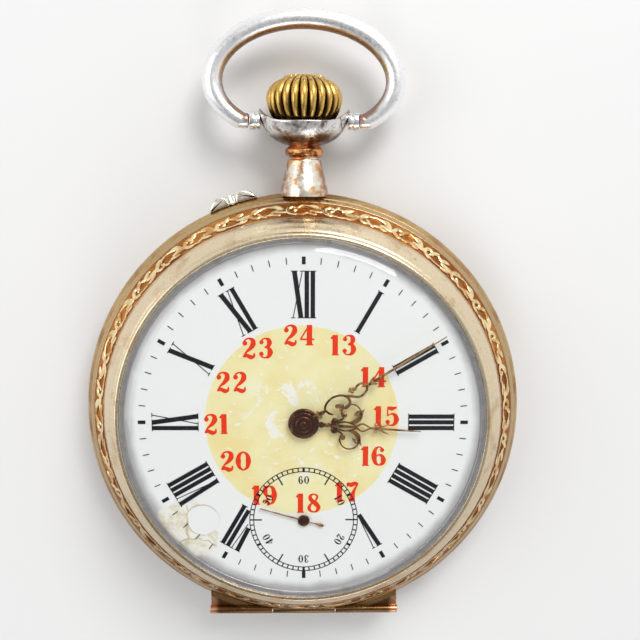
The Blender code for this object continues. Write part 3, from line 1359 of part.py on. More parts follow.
def second_hand():
    half = [(0, -SECOND_TAIL), (0.3, -SECOND_TAIL + 0.2), (0.3, -1.3), (0.12, -0.9)]
    half += [(0.5, -0.5), (0.62, 0), (0.5, 0.5), (0.13, 0.9), (0.07, SECOND_HAND_LENGTH - 0.2)]
    half += [(0, SECOND_HAND_LENGTH)]
    outline = half + [(-x, y) for x, y in reversed(half) if x > 0]
    low = SECOND_HAND_Z
    return plate(
        "second_hand", [outline], low, low + 0.12, GILT, SECONDS, -math.radians(SECOND_HAND_AT)
    )


# ---------------------------------------------------------------- assembly


def build_case():
    middle, lid, back, dust = case_middle(), bezel(), back_cover(), cuvette()
    bezel_z, back_z = BEZEL_PARTING_Z + SNAP / 2, BACK_PARTING_Z - SNAP / 2
    front, rear = (HINGE_Y, bezel_z), (HINGE_Y, back_z)
    inner_y = 0.3 - math.sqrt(PARTING_R**2 - HINGE_HALF**2)  # inside the band, at a hinge's end
    above = (inner_y, bezel_z - 0.4, BEZEL_PARTING_Z - 0.02)
    below = (inner_y, BACK_PARTING_Z + 0.02, back_z + 0.38)
    hinge_halves(middle, lid, front, HINGE_HALF, HINGE_R, HINGE_PIN_R, above, None, COPPER)
    hinge_halves(middle, back, rear, HINGE_HALF, HINGE_R, HINGE_PIN_R, below, None, COPPER)
    y, z = CUVETTE_HINGE
    dust_leaf = (0.4 - CUVETTE_R, z - 0.3, CUVETTE_SEAT_Z - SNAP)
    seat_leaf = (dust_leaf[0], CUVETTE_SEAT_Z + 0.01, z + 0.3)
    dust_sizes = CUVETTE_HINGE_HALF, CUVETTE_HINGE_R, CUVETTE_PIN_R
    hinge_halves(middle, dust, CUVETTE_HINGE, *dust_sizes, seat_leaf, dust_leaf, BRASS)
    hinge_pin("bezel_hinge_pin", front, HINGE_HALF, HINGE_PIN_R)
    hinge_pin("back_hinge_pin", rear, HINGE_HALF, HINGE_PIN_R)
    hinge_pin("cuvette_hinge_pin", CUVETTE_HINGE, CUVETTE_HINGE_HALF, CUVETTE_PIN_R)
    carried(lid, (0, *front))
    carried(crystal(), (0, *front))
    carried(back, (0, *rear))
    carried(dust, (0, y, z))
    pin_guard()
    setting_pin()


def build_pendant():
    pendant()
    pendant_sleeve()
    bow_bush(-1)
    bow_bush(1)
    bow()
    crown()


def build_winding():
    for make in (stem, winding_pinion, clutch, setting_lever, crown_wheel, crown_wheel_core):
        make()
    for make in (ratchet_wheel, ratchet_screw, click, click_screw, click_spring):
        make()


def build_movement():
    for make in (mainplate, barrel_bridge, train_bridge, balance_cock, pallet_bridge):
        make()
    for i, at in enumerate(BARREL_BRIDGE_SCREWS):
        bridge_screw(f"barrel_bridge_screw_{i + 1}", at)
    for i, at in enumerate(TRAIN_BRIDGE_SCREWS):
        bridge_screw(f"train_bridge_screw_{i + 1}", at)
    bridge_screw("cock_screw", COCK_SCREW)
    for make in (barrel, barrel_cover, barrel_arbor, mainspring):
        make()
    for make in (centre_wheel, third_wheel, fourth_wheel, escape_wheel, pallet_fork):
        make()
    for make in (balance, hairspring, balance_jewel, regulator):
        make()


def build_dial():
    for make in (cannon_pinion, hour_wheel, minute_wheel, setting_wheel, dial):
        make()
    for make in (minute_hand, hour_hand, second_hand):
        make()


build_case()
build_pendant()
build_winding()
build_movement()
build_dial()
bpy.context.view_layer.update()
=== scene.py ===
"""Looks of the pocket watch: fine shells, engraved band, dial printing, pierced hands, glass."""

import math

import bmesh
import bpy
import numpy as np
from mathutils import Euler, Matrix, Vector


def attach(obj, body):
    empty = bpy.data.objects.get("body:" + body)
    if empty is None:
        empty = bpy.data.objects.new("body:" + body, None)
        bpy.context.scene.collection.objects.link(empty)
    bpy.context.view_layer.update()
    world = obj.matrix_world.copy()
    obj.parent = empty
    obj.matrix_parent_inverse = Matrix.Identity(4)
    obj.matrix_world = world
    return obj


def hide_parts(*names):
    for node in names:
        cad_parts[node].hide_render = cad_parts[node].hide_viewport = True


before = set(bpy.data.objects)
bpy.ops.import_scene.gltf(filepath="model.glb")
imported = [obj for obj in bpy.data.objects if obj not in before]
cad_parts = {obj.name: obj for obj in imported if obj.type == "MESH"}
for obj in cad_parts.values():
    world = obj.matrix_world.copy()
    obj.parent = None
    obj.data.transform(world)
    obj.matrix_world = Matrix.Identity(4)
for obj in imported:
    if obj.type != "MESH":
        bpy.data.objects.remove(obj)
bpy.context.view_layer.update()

MM = 0.001
TAU = 2 * math.pi

# Sizes in millimetres, as in the solids
RIM_R, PARTING_R, COLLAR_R, CASE_BORE_R, BACK_COLLAR_R = 25.25, 24.65, 22.0, 20.5, 24.0
BACK_PARTING_Z, PENDANT_Z, BEZEL_PARTING_Z, LEDGE_Z = 3.35, 4.6, 5.85, 8.17
BACK_FLAT_R, BACK_WALL, SNAP, RUN = 16.0, 0.5, 0.05, 0.05
CUVETTE_Z, CUVETTE_WALL, CUVETTE_SEAT_Z, CUVETTE_R = 1.45, 0.35, 2.6, 22.7
DIAL_SEAT_Z, DIAL_TOP_Z, PLATE_TOP_Z = 9.95, 10.8, 9.0
GLASS_SEAT_Z, GLASS_R, SEAT_TOP_Z = 11.15, 20.4, 11.6
SECONDS = (0.0, -11.4)
HAND_THICK = 0.16
SECOND_HAND_Z, HOUR_HAND_Z, MINUTE_HAND_Z = 11.04, 11.4, 11.78
HOUR_HAND_LENGTH = 13.1
MINUTE_HAND_AT, HOUR_HAND_AT, SECOND_HAND_AT = 57.8, 94.0, 286.0
HINGE_Y, HINGE_R, HINGE_PIN_R, HINGE_HALF = -24.45, 0.5, 0.28, 11.3
CUVETTE_HINGE, CUVETTE_HINGE_R, CUVETTE_PIN_R, CUVETTE_HINGE_HALF = (-22.95, 2.52), 0.38, 0.18, 4.5
BOW_PIVOT_Y, BOW_PIVOT_X, BOW_WIRE_R, BOW_HALF_WIDTH = 33.1, 7.0, 1.12, 10.2
BOW_CENTRE_Y, BOW_RISE, BOW_DROP = 37.3, 6.75, 5.8
CROWN_FOOT_Y, CROWN_TOP_Y, FLUTES = 33.15, 38.2, 24
SET_PIN_AT = math.radians(108.5)
TRACK_R, CREAM_R, SECONDS_OUT, SECONDS_IN, CUT_R = 18.0, 10.8, 6.12, 5.68, 6.32
BAND_SHOULDER = [(24.14, 6.47), (23.3, 7.35), (22.66, 8.52)]


# ---------------------------------------------------------------- shapes


def mesh_of(name, points, faces):
    """A mesh whose faces all look outwards."""
    mesh = bpy.data.meshes.new(name)
    mesh.from_pydata(points, [], faces)
    work = bmesh.new()
    work.from_mesh(mesh)
    bmesh.ops.recalc_face_normals(work, faces=work.faces)
    work.to_mesh(mesh)
    work.free()
    return mesh


def placed(name, data):
    """A new object in the scene."""
    thing = bpy.data.objects.new(name, data)
    bpy.context.scene.collection.objects.link(thing)
    return thing


class Shape:
    """Points in millimetres and faces of one piece, with a material index and a value each."""

    def __init__(self):
        self.points, self.faces, self.marks, self.values = [], [], [], []

    def add(self, made, mark=0, value=0.0):
        points, faces = made
        start = len(self.points)
        self.points += [tuple(map(float, p)) for p in points]
        self.faces += [tuple(i + start for i in face) for face in faces]
        self.marks += [mark] * len(faces)
        self.values += list(value) if hasattr(value, "__len__") else [value] * len(points)
        return self

    def build(self, name, looks, body, slot, hides=(), sharp=38):
        mesh = mesh_of(name, (np.array(self.points) * MM).tolist(), self.faces)
        for look in looks:
            mesh.materials.append(look)
        mesh.polygons.foreach_set("material_index", self.marks)
        mesh.polygons.foreach_set("use_smooth", [True] * len(mesh.polygons))
        mesh.set_sharp_from_angle(angle=math.radians(sharp))
        if any(self.values):
            attribute = mesh.attributes.new("relief", "FLOAT", "POINT")
            attribute.data.foreach_set("value", np.array(self.values, np.float32))
        piece = placed(name, mesh)
        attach(piece, body)
        if hides:
            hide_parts(*hides)


def polar(radius, angle, centre=(0.0, 0.0)):
    return (centre[0] + radius * math.cos(angle), centre[1] + radius * math.sin(angle))


def arc(cx, cy, radius, start, end, steps, radius_y=None):
    tall = radius if radius_y is None else radius_y
    angles = np.radians(np.linspace(start, end, steps + 1))
    return [(cx + radius * math.cos(a), cy + tall * math.sin(a)) for a in angles]


def rounded(points, radius, steps=3, closed=True):
    """The same outline with each corner turned into a short curve."""
    pts = [np.array(p, float) for p in points]
    out = []
    for i, p in enumerate(pts):
        if not closed and i in (0, len(pts) - 1):
            out.append(tuple(p))
            continue
        before, after = pts[i - 1] - p, pts[(i + 1) % len(pts)] - p
        la, lb = np.linalg.norm(before), np.linalg.norm(after)
        a = p + before / la * min(radius, 0.4 * la)
        b = p + after / lb * min(radius, 0.4 * lb)
        for t in np.linspace(0, 1, steps + 1):
            out.append(tuple((1 - t) ** 2 * a + 2 * t * (1 - t) * p + t * t * b))
    return out


def smooth(points, per=6):
    """A Catmull-Rom line through the points."""
    pts = [np.array(p, float) for p in points]
    pts = [2 * pts[0] - pts[1], *pts, 2 * pts[-1] - pts[-2]]
    out = []
    for p0, p1, p2, p3 in zip(pts, pts[1:], pts[2:], pts[3:]):
        for t in np.arange(per) / per:
            a = 2 * p1 + (p2 - p0) * t + (2 * p0 - 5 * p1 + 4 * p2 - p3) * t * t
            out.append((a + (3 * p1 - p0 - 3 * p2 + p3) * t**3) / 2)
    return np.array([*out, pts[-2]])


def curve(points):
    return smooth(points) if len(points) > 2 else points


def grid_faces(rows, columns, wrap_rows=False):
    faces = []
    for i in range(rows if wrap_rows else rows - 1):
        for j in range(columns):
            k, m = (i + 1) % rows, (j + 1) % columns
            faces.append((i * columns + j, i * columns + m, k * columns + m, k * columns + j))
    return faces


def capped(rows, columns):
    """Faces of a closed tube of rings, with a face over each of its two ends."""
    last = (rows - 1) * columns
    ends = [tuple(range(columns))[::-1], tuple(last + i for i in range(columns))]
    return grid_faces(rows, columns) + ends


def lathe(profile, steps=192, closed=True, wave=None):
    """Turns (radius, height) points about Z. An open profile is closed by discs at its ends."""
    angles = np.arange(steps) * TAU / steps
    rings = []
    for radius, height in profile:
        r = np.full(steps, max(radius, 1e-4))
        if wave is not None:
            r = wave(r, height, angles)
        rings.append(np.stack([r * np.cos(angles), r * np.sin(angles), np.full(steps, height)], 1))
    faces = grid_faces(len(profile), steps, wrap_rows=True) if closed else capped(len(profile), steps)
    return np.concatenate(rings), faces


def moved(made, at=(0, 0, 0), turn=(0, 0, 0)):
    points, faces = made
    matrix = np.array(Euler(turn).to_matrix())
    return np.asarray(points) @ matrix.T + np.array(at), faces


ALONG_Y = (-math.pi / 2, 0, 0)
ALONG_X, BACK_ALONG_X = (0, math.pi / 2, 0), (0, -math.pi / 2, 0)


def unit(v):
    return v / np.maximum(np.linalg.norm(v, axis=1), 1e-9)[:, None]


def left_of(along):
    return np.stack([-along[:, 1], along[:, 0]], 1)


def ribbon(path, widths, low, high, bevel=0.0):
    """A strip of changing width along a line in the XY plane."""
    p = np.array(path, float)[:, :2]
    w = np.interp(np.linspace(0, 1, len(p)), np.linspace(0, 1, len(widths)), widths) / 2
    side = left_of(unit(np.gradient(p, axis=0)))
    inner = np.maximum(w - bevel, w * 0.35)
    edges = [(w, low), (w, high - bevel)] + ([(inner, high)] if bevel else [])
    section = [(o, z) for o, z in edges] + [(-o, z) for o, z in reversed(edges)]
    rows = []
    for offset, z in section:
        xy = p + side * np.asarray(offset)[:, None]
        rows.append(np.column_stack([xy, np.full(len(p), z)]))
    return np.stack(rows, 1).reshape(-1, 3), capped(len(p), len(section))


def slab(outline, low, high, bevel=0.0, steps=3):
    """An outline in XY given thickness, its upper and lower edges rounded by insetting."""
    p = np.array(outline, float)
    levels, inward = [(0, low), (0, high)], 0
    if bevel:
        along = unit(unit(np.roll(p, -1, 0) - p) + unit(p - np.roll(p, 1, 0)))
        area = np.sum(p[:, 0] * np.roll(p[:, 1], -1) - np.roll(p[:, 0], -1) * p[:, 1])
        inward = left_of(along) * (1 if area > 0 else -1)
        turns = np.linspace(0, math.pi / 2, steps + 1)
        levels = [(bevel * (1 - math.sin(a)), low + bevel * (1 - math.cos(a))) for a in turns]
        levels += [(d, low + high - z) for d, z in reversed(levels)]
    rings = [np.column_stack([p + inward * d, np.full(len(p), z)]) for d, z in levels]
    return np.concatenate(rings), capped(len(levels), len(p))


def tube(path, radii, sides=24):
    """A round wire along a line in the XY plane at z = 0, with rounded ends left to the caller."""
    p = np.array(path, float)
    side = left_of(unit(np.gradient(p, axis=0)))
    a = np.arange(sides) * TAU / sides
    rows = []
    for q, s, r in zip(p, side, radii):
        flat = q[None] + s[None] * (r * np.cos(a))[:, None]
        rows.append(np.column_stack([flat, r * np.sin(a)]))
    return np.concatenate(rows), capped(len(p), sides)


# ---------------------------------------------------------------- materials


class Signal:
    """A node's output, with the usual arithmetic."""

    def __init__(self, nodes, socket):
        self.nodes, self.socket = nodes, socket

    def __add__(self, other):
        return self.nodes.maths("ADD", self, other)

    def __sub__(self, other):
        return self.nodes.maths("SUBTRACT", self, other)

    def __mul__(self, other):
        return self.nodes.maths("MULTIPLY", self, other)

    def __truediv__(self, other):
        return self.nodes.maths("DIVIDE", self, other)

    def step(self, low, high, to_low=0.0, to_high=1.0):
        """Goes smoothly between two values while this goes from low to high."""
        given = zip(("Value", "From Min", "From Max", "To Min", "To Max"), (self, low, high, to_low, to_high))
        return self.nodes.out("ShaderNodeMapRange", "Result", dict(given), interpolation_type="SMOOTHSTEP")


class Nodes:
    """A node tree, and the few calls that fill it."""

    def __init__(self, tree, place):
        self.tree = tree
        self.place = self.out("ShaderNodeTexCoord", place)

    def feed(self, socket, value):
        if isinstance(value, Signal):
            self.tree.links.new(value.socket, socket)
        elif isinstance(value, tuple) and len(value) < len(socket.default_value):
            socket.default_value = (*value, 1)
        elif value is not None:
            socket.default_value = value

    def out(self, kind, output=0, given=None, **settings):
        """One output of a new node that has these inputs and settings."""
        made = self.tree.nodes.new(kind)
        for key, value in settings.items():
            setattr(made, key, value)
        for socket, value in (given or {}).items():
            self.feed(made.inputs[socket], value)
        return Signal(self, made.outputs[output])

    def maths(self, operation, *given):
        return self.out("ShaderNodeMath", 0, dict(enumerate(given)), operation=operation)

    def mix(self, share, a, b):
        return self.out("ShaderNodeMix", 2, {0: share, 6: a, 7: b}, data_type="RGBA")

    def axes(self):
        split = self.out("ShaderNodeSeparateXYZ", 0, {"Vector": self.place}).socket.node
        return [Signal(self, socket) for socket in split.outputs]

    def finish(self, output, share, a, b):
        """Sends a blend of two shaders to the tree's output."""
        blend = self.out("ShaderNodeMixShader", 0, {0: share, 1: a, 2: b})
        self.feed(self.tree.nodes[output].inputs["Surface"], blend)


class Look(Nodes):
    """A material and the patterns that the looks below share. Sizes are in millimetres."""

    def __init__(self, name, colour, roughness=0.3, metallic=1.0):
        self.material = bpy.data.materials.new(name)
        self.material.use_nodes = True
        super().__init__(self.material.node_tree, "Object")
        self.shader = self.tree.nodes["Principled BSDF"]
        self.set("Base Color", colour).set("Roughness", roughness).set("Metallic", metallic)

    def set(self, socket, value):
        self.feed(self.shader.inputs[socket], value)
        return self

    def before(self, socket):
        """What already feeds one of the shader's sockets."""
        links = self.shader.inputs[socket].links
        return Signal(self, links[0].from_socket) if links else None

    def over(self, share, colour):
        """Lays a colour over what the material already shows."""
        return self.set("Base Color", self.mix(share, self.before("Base Color"), colour))

    def rough(self, size, detail, low, high):
        return self.set("Roughness", self.noise(size, detail).step(0.3, 0.7, low, high))

    def noise(self, size, detail=4, rough=0.55, vector=None, warp=0.0):
        given = {"Vector": vector or self.place, "Scale": 1000 / size, "Detail": detail, "Roughness": rough}
        return self.out("ShaderNodeTexNoise", "Fac", {**given, "Distortion": warp})

    def stretched(self, x, y, z):
        return self.out("ShaderNodeMapping", "Vector", {"Vector": self.place, "Scale": (x, y, z)})

    def relief(self):
        return self.out("ShaderNodeAttribute", "Fac", attribute_name="relief")

    def radius(self, centre=(0, 0)):
        x, y, _ = self.axes()
        dx = x - centre[0] * MM
        dy = y - centre[1] * MM
        return self.maths("SQRT", dx * dx + dy * dy) * 1000

    def tarnish(self, most):
        """Share of painted shade, which grows from the pendant's side of the case to the hinge's."""
        y = self.axes()[1] + self.noise(7.0, 4) * 0.012
        return y.step(0.012, -0.022, 0.0, most)

    def brown_hinge(self):
        """Painted shade: dark brown along the hinge and on what stands out past the rim, with painted highlights of
        bright copper at its two ends.
        """
        x, y, _ = self.axes()
        here = self.maths("MAXIMUM", y.step(-0.0240, -0.0245, 0.0, 0.85),
                          self.radius().step(RIM_R - 0.02, RIM_R + 0.15, 0.0, 0.85))
        ends = self.maths("ABSOLUTE", x).step(0.0101, 0.0109)
        return self.over(here, self.mix(ends, (0.10, 0.042, 0.016), (0.62, 0.31, 0.17)))

    def bump(self, height, strength, distance):
        """Adds relief to what the surface already has."""
        given = {"Strength": strength, "Distance": distance * MM, "Height": height, "Normal": self.before("Normal")}
        return self.set("Normal", self.out("ShaderNodeBump", "Normal", given))


def worn_metal(name, plate, under, grime, rough=(0.22, 0.42), wear=(0.52, 0.66), size=3.2):
    """Plate worn through in patches to the metal under it, with grime and fine scratches."""
    look = Look(name, plate)
    patches = look.noise(size, 6, 0.62, warp=0.4).step(*wear)
    dirt = look.noise(0.9, 5, 0.7).step(0.6, 0.78)
    tint = look.mix(look.noise(8.0, 2), plate, tuple(min(1, c * 1.12) for c in plate))
    colour = look.mix(patches * 0.75, tint, under)
    look.set("Base Color", look.mix(dirt * 0.55, colour, grime))
    fine = look.noise(0.35, 3, 0.6)
    look.set("Roughness", (fine + patches * 0.3).step(0.3, 0.9, *rough))
    scratches = look.noise(0.5, 2, 0.5, look.stretched(1, 14, 6))
    more = look.noise(0.5, 2, 0.5, look.stretched(11, 1.3, 5))
    height = scratches * 0.5 + more * 0.5
    look.bump(height + patches * -0.4, 0.12, 0.05)
    return look


def grained_metal(name, colour, dark, rough=(0.25, 0.4), grain=(1, 1, 30)):
    look = Look(name, colour)
    look.set("Base Color", look.mix(look.noise(1.4, 5, 0.65).step(0.45, 0.8), colour, dark))
    look.rough(0.3, 2, *rough)
    look.bump(look.noise(0.25, 2, 0.5, look.stretched(*grain)), 0.1, 0.03)
    return look


PALE_GOLD, DARK_BROWN, WHITE = (0.74, 0.62, 0.43), (0.08, 0.033, 0.014), (1, 1, 1)
SILVER_TONE, TARNISH, CASE_GOLD = (0.86, 0.86, 0.87), (0.07, 0.05, 0.04), (0.50, 0.34, 0.155)

shell = worn_metal("worn_bezel_plate", PALE_GOLD, (0.55, 0.36, 0.19), DARK_BROWN, (0.2, 0.36), (0.5, 0.7))
# Painted shade: the bezel's outer lower lip darker brown.
shell.over(shell.axes()[2].step(0.0064, 0.0067, 0.75, 0.0), (0.42, 0.27, 0.11))
# Painted shade: darker towards the hinge's side, and along the hinge, with painted highlights at its ends.
shell.over(shell.tarnish(0.55), (0.26, 0.14, 0.055)).brown_hinge()
BAND_PLATE = worn_metal("worn_case_plate", CASE_GOLD, (0.30, 0.12, 0.04), DARK_BROWN, (0.22, 0.4), (0.42, 0.66), 5.0)
# Painted shade: the case band darker towards the hinge's side and along the hinge, with painted highlights at its ends.
BAND_PLATE.over(BAND_PLATE.tarnish(0.6), (0.14, 0.06, 0.02)).brown_hinge()
# Painted shade: the glass seat inside the bezel is a darker grey metal.
SEAT = grained_metal("shaded_grey_seat", (0.42, 0.40, 0.40), (0.26, 0.24, 0.25), (0.3, 0.5), (3, 3, 3)).material
inside = worn_metal("gilt_case_inside", (0.83, 0.68, 0.40), (0.66, 0.44, 0.2), DARK_BROWN, (0.16, 0.3), (0.6, 0.8))
bow_silver = worn_metal("worn_bow_silver", SILVER_TONE, (0.62, 0.58, 0.55), TARNISH, (0.12, 0.26), (0.6, 0.8))
shoulders = worn_metal("worn_shoulders", (0.92, 0.86, 0.74), (0.56, 0.30, 0.14), DARK_BROWN,
                       wear=(0.52, 0.62), size=1.3)
brass = grained_metal("frosted_gilt_brass", (0.80, 0.63, 0.32), (0.62, 0.45, 0.2), (0.3, 0.45), (2, 2, 2))
wheel_brass = grained_metal("grained_wheel_brass", (0.84, 0.66, 0.30), (0.7, 0.5, 0.2), (0.2, 0.32), (1, 12, 1))
steel = grained_metal("polished_steel", (0.62, 0.63, 0.65), (0.42, 0.42, 0.44), (0.16, 0.3), (1, 20, 1))
blued = grained_metal("blued_steel", (0.05, 0.09, 0.35), (0.03, 0.04, 0.16), (0.15, 0.25), (8, 1, 1))


def bow_look():
    """Bright silver, darker brown along the inner side of the loop."""
    look = worn_metal("worn_bow_wire", (0.90, 0.90, 0.92), (0.66, 0.60, 0.58), TARNISH, (0.26, 0.42), (0.62, 0.8))
    x, y, _ = look.axes()
    across = x / (BOW_HALF_WIDTH * MM)
    along = (y - BOW_CENTRE_Y * MM) / (BOW_RISE * MM)
    squares = across * across + along * along
    ring = look.maths("SQRT", squares) + look.noise(1.5, 4) * 0.05
    inner = ring.step(0.9, 0.96, 1, 0) * 0.85
    return look.over(inner, (0.26, 0.11, 0.045)).material


def back_look():
    """Worn plate with engine-turned waves between a plain shield and a plain rim."""
    look = worn_metal("worn_back_plate", CASE_GOLD, (0.38, 0.20, 0.08), DARK_BROWN, (0.22, 0.4), (0.5, 0.78), 2.6)
    x, y, _ = look.axes()
    r = look.radius()
    bend = look.maths("SINE", r * 2.4) * 1.7
    wave = look.maths("SINE", look.maths("ARCTAN2", y, x) * 72 + bend)
    field = r.step(5.2, 5.5) * r.step(20.6, 20.9, 1, 0)
    low = wave.step(-0.9, 0.3, 0.5, 0) * field
    # Painted shade along the back's hinge, with painted highlights at its two ends.
    look.over(low, (0.22, 0.10, 0.04)).brown_hinge()
    return look.bump(wave * field, 0.35, 0.06).material


def crown_look():
    look = Look("fluted_crown_gilt", (0.8, 0.58, 0.25), 0.28)
    # Dark flute valleys, with painted shade that darkens and widens them towards the foot.
    low = look.axes()[1].step((CROWN_FOOT_Y + 0.2) * MM, (CROWN_FOOT_Y + 3.4) * MM, 0.5, 0.0)
    valley = (look.relief() + low).step(0.3, 0.8)
    spots = look.noise(0.8, 5, 0.7).step(0.52, 0.7)
    gold = look.mix(look.noise(2.5, 3), (0.86, 0.58, 0.17), (0.62, 0.36, 0.08))
    gold = look.mix(spots * 0.5, gold, (0.35, 0.17, 0.04))
    look.set("Base Color", look.mix(valley, gold, (0.06, 0.025, 0.008)))
    look.rough(0.4, 3, 0.2, 0.38)
    return look.bump(look.noise(0.25, 3), 0.15, 0.04).material


def band_look():
    """Engraved band: coppery ground, pale gold on what stands up, dark lines beside it."""
    look = Look("engraved_band", (0.7, 0.4, 0.18), 0.3)
    ground = look.mix(look.noise(5.0, 3, 0.6).step(0.35, 0.65), (0.60, 0.24, 0.055), (0.33, 0.095, 0.02))
    ground = look.mix(look.noise(0.5, 4, 0.7).step(0.5, 0.75), ground, (0.20, 0.055, 0.015))
    gold = look.mix(look.noise(1.6, 4, 0.6).step(0.44, 0.66), (0.92, 0.76, 0.44), (0.62, 0.34, 0.11))
    up = look.relief().step(0.42, 0.72)
    edge = look.relief().step(0.02, 0.14) * look.relief().step(0.26, 0.52, 1, 0)
    colour = look.mix(up, ground, gold)
    colour = look.mix(edge * 0.85, colour, (0.07, 0.02, 0.008))
    # Painted shade: the band darker towards the hinge's side of the case.
    look.set("Base Color", look.mix(look.tarnish(0.7), colour, (0.11, 0.034, 0.012)))
    look.set("Roughness", up.step(0.0, 1.0, 0.4, 0.2))
    return look.bump(look.noise(0.22, 4, 0.6), 0.25, 0.05).material


def pendant_look():
    """Silver head with brown tarnish, coppery collar, cream neck with worn orange patches."""
    look = Look("worn_pendant", SILVER_TONE, 0.25)
    y = look.axes()[1] * 1000
    tarnish = look.noise(1.3, 6, 0.7, warp=0.6).step(0.47, 0.6)
    silver = look.mix(look.noise(0.6, 4), (0.88, 0.87, 0.86), (0.62, 0.58, 0.54))
    head = look.mix(tarnish * 0.85, silver, (0.12, 0.055, 0.03))
    patches = look.noise(1.6, 5, 0.65).step(0.48, 0.6)
    neck = look.mix(patches * 0.9, (0.9, 0.84, 0.72), (0.72, 0.34, 0.1))
    collar = look.mix(tarnish, (0.72, 0.33, 0.12), (0.16, 0.05, 0.02))
    # Darker brown towards both sides of the neck, in patches.
    side = look.maths("ABSOLUTE", look.axes()[0] * 1000).step(1.1, 2.2)
    side_brown = side * look.noise(0.9, 5, 0.7).step(0.3, 0.6)
    neck = look.mix(side_brown * 0.9, neck, (0.34, 0.12, 0.035))
    low = (y + look.noise(1.2, 4)).step(31.6, 32.5, 1, 0)
    head = look.mix(low * 0.9, head, (0.10, 0.04, 0.02))
    near = look.maths("ABSOLUTE", y - 29.75)
    colour = look.mix(y.step(30.35, 30.75), neck, head)
    colour = look.mix(near.step(0.5, 0.75, 1, 0), colour, collar)
    look.set("Base Color", colour)
    look.set("Roughness", look.noise(0.5, 4).step(0.3, 0.75, 0.16, 0.38))
    return look.bump(look.noise(0.3, 5, 0.6), 0.2, 0.06).material


def hand_look():
    """Gilt worn to brown, brighter on the outer, thinner parts of each hand."""
    look = Look("worn_gilt_hands", (0.6, 0.36, 0.16), 0.35)
    far = look.radius().step(3.0, 9.0)
    mottle = look.noise(0.7, 5, 0.7).step(0.45, 0.6)
    dark = look.mix(mottle, (0.07, 0.026, 0.012), (0.42, 0.22, 0.08))
    bright = look.mix(mottle, (0.58, 0.36, 0.15), (0.22, 0.09, 0.035))
    look.set("Base Color", look.mix(far, dark, bright))
    look.rough(0.4, 3, 0.25, 0.5)
    return look.bump(look.noise(0.15, 4), 0.3, 0.03).material


def enamel_look():
    """White fired enamel, a cream centre with wear, and one mended patch near its edge."""
    look = Look("fired_enamel", (0.9, 0.9, 0.9), 0.12, 0.0)
    r = look.radius()
    ragged = look.radius((-0.2, 0.1)) + look.noise(1.6, 4, 0.6) * 0.35
    cream_here = ragged.step(CREAM_R + 0.1, CREAM_R + 0.24, 1, 0)
    cream = look.mix(look.noise(4.5, 4, 0.55).step(0.35, 0.7), (0.89, 0.83, 0.49), (0.87, 0.73, 0.34))
    chips = look.noise(1.1, 4, 0.6, look.stretched(1, 1.5, 1)).step(0.63, 0.66)
    inner = r.step(4.2, 8.5, 1, 0)
    rubbed = look.noise(2.6, 5, 0.7, warp=0.5).step(0.55, 0.61)
    bare = look.maths("MAXIMUM", rubbed * inner, chips * 0.9)
    specks = look.noise(0.4, 2, 0.5).step(0.74, 0.78)
    white = look.mix(look.noise(9.0, 3), (0.88, 0.88, 0.885), (0.84, 0.845, 0.86))
    cream = look.mix(bare, cream, (0.9, 0.88, 0.82))
    colour = look.mix(cream_here, white, cream)
    colour = look.mix(specks * 0.5, colour, (0.45, 0.36, 0.2))
    # Painted shade: grey towards the dial's rim, under the bezel.
    rim_shade = (r + look.noise(2.5, 4) * 0.8).step(19.0, 20.2)
    colour = look.mix(rim_shade * 0.7, colour, (0.30, 0.28, 0.30))
    patch = (look.radius((-13.2, -12.6)) + look.noise(2.0, 3) * 2.4).step(4.4, 5.0, 1, 0)
    oval = look.radius((-11.5, -11.4)) + look.noise(2.6, 2) * 0.9
    patch = patch * oval.step(2.1, 2.35) * r.step(14.2, 15.0)
    rim = oval.step(2.16, 2.24) * oval.step(2.28, 2.38, 1, 0)
    stain = look.mix(look.noise(1.4, 5, 0.65).step(0.42, 0.68), (0.86, 0.84, 0.76), (0.66, 0.57, 0.38))
    colour = look.mix(patch * 0.85, colour, stain)
    swirl = look.out("ShaderNodeTexNoise", "Color", {"Scale": 500, "Vector": look.place})
    given = {0: swirl, 1: (0.0024, 0.0024, 0.0), 2: look.place}
    bent = look.out("ShaderNodeVectorMath", 0, given, operation="MULTIPLY_ADD")
    given = {"Vector": bent, "Scale": 1000 / 5.2}
    crack = look.out("ShaderNodeTexVoronoi", "Distance", given, feature="DISTANCE_TO_EDGE")
    line = crack.step(0.008, 0.022, 1, 0) * patch
    line = look.maths("MAXIMUM", line, rim * look.noise(3.0, 2).step(0.4, 0.6))
    look.set("Base Color", look.mix(line * 0.6, colour, (0.42, 0.33, 0.2)))
    look.set("Coat Weight", 0.4).set("Coat Roughness", 0.05)
    look.rough(3.0, 3, 0.1, 0.2)
    return look.bump(look.noise(2.0, 2) - line * 2, 0.08, 0.05).material


def print_look(name, colour, worn):
    look = Look(name, colour, 0.3, 0.0).set("Specular IOR Level", 0.2)
    look.set("Base Color", look.mix(look.noise(0.5, 5, 0.7).step(0.56, 0.72), colour, worn))
    return look.rough(0.3, 2, 0.22, 0.4).material


def glass_look():
    """Clear glass, which mirrors by its outer faces alone."""
    look = Look("watch_glass", WHITE, 0.02, 0.0)
    clear = look.out("ShaderNodeBsdfTransparent", 0, {"Color": (0.985, 0.99, 0.985)})
    mirror = look.out("ShaderNodeBsdfGlossy", 0, {"Roughness": 0.03, "Color": WHITE})
    outside = look.maths("SUBTRACT", 1.0, look.out("ShaderNodeNewGeometry", "Backfacing"))
    look.finish("Material Output", look.out("ShaderNodeFresnel", 0, {"IOR": 1.46}) * outside, clear, mirror)
    look.tree.nodes.remove(look.shader)
    return look.material


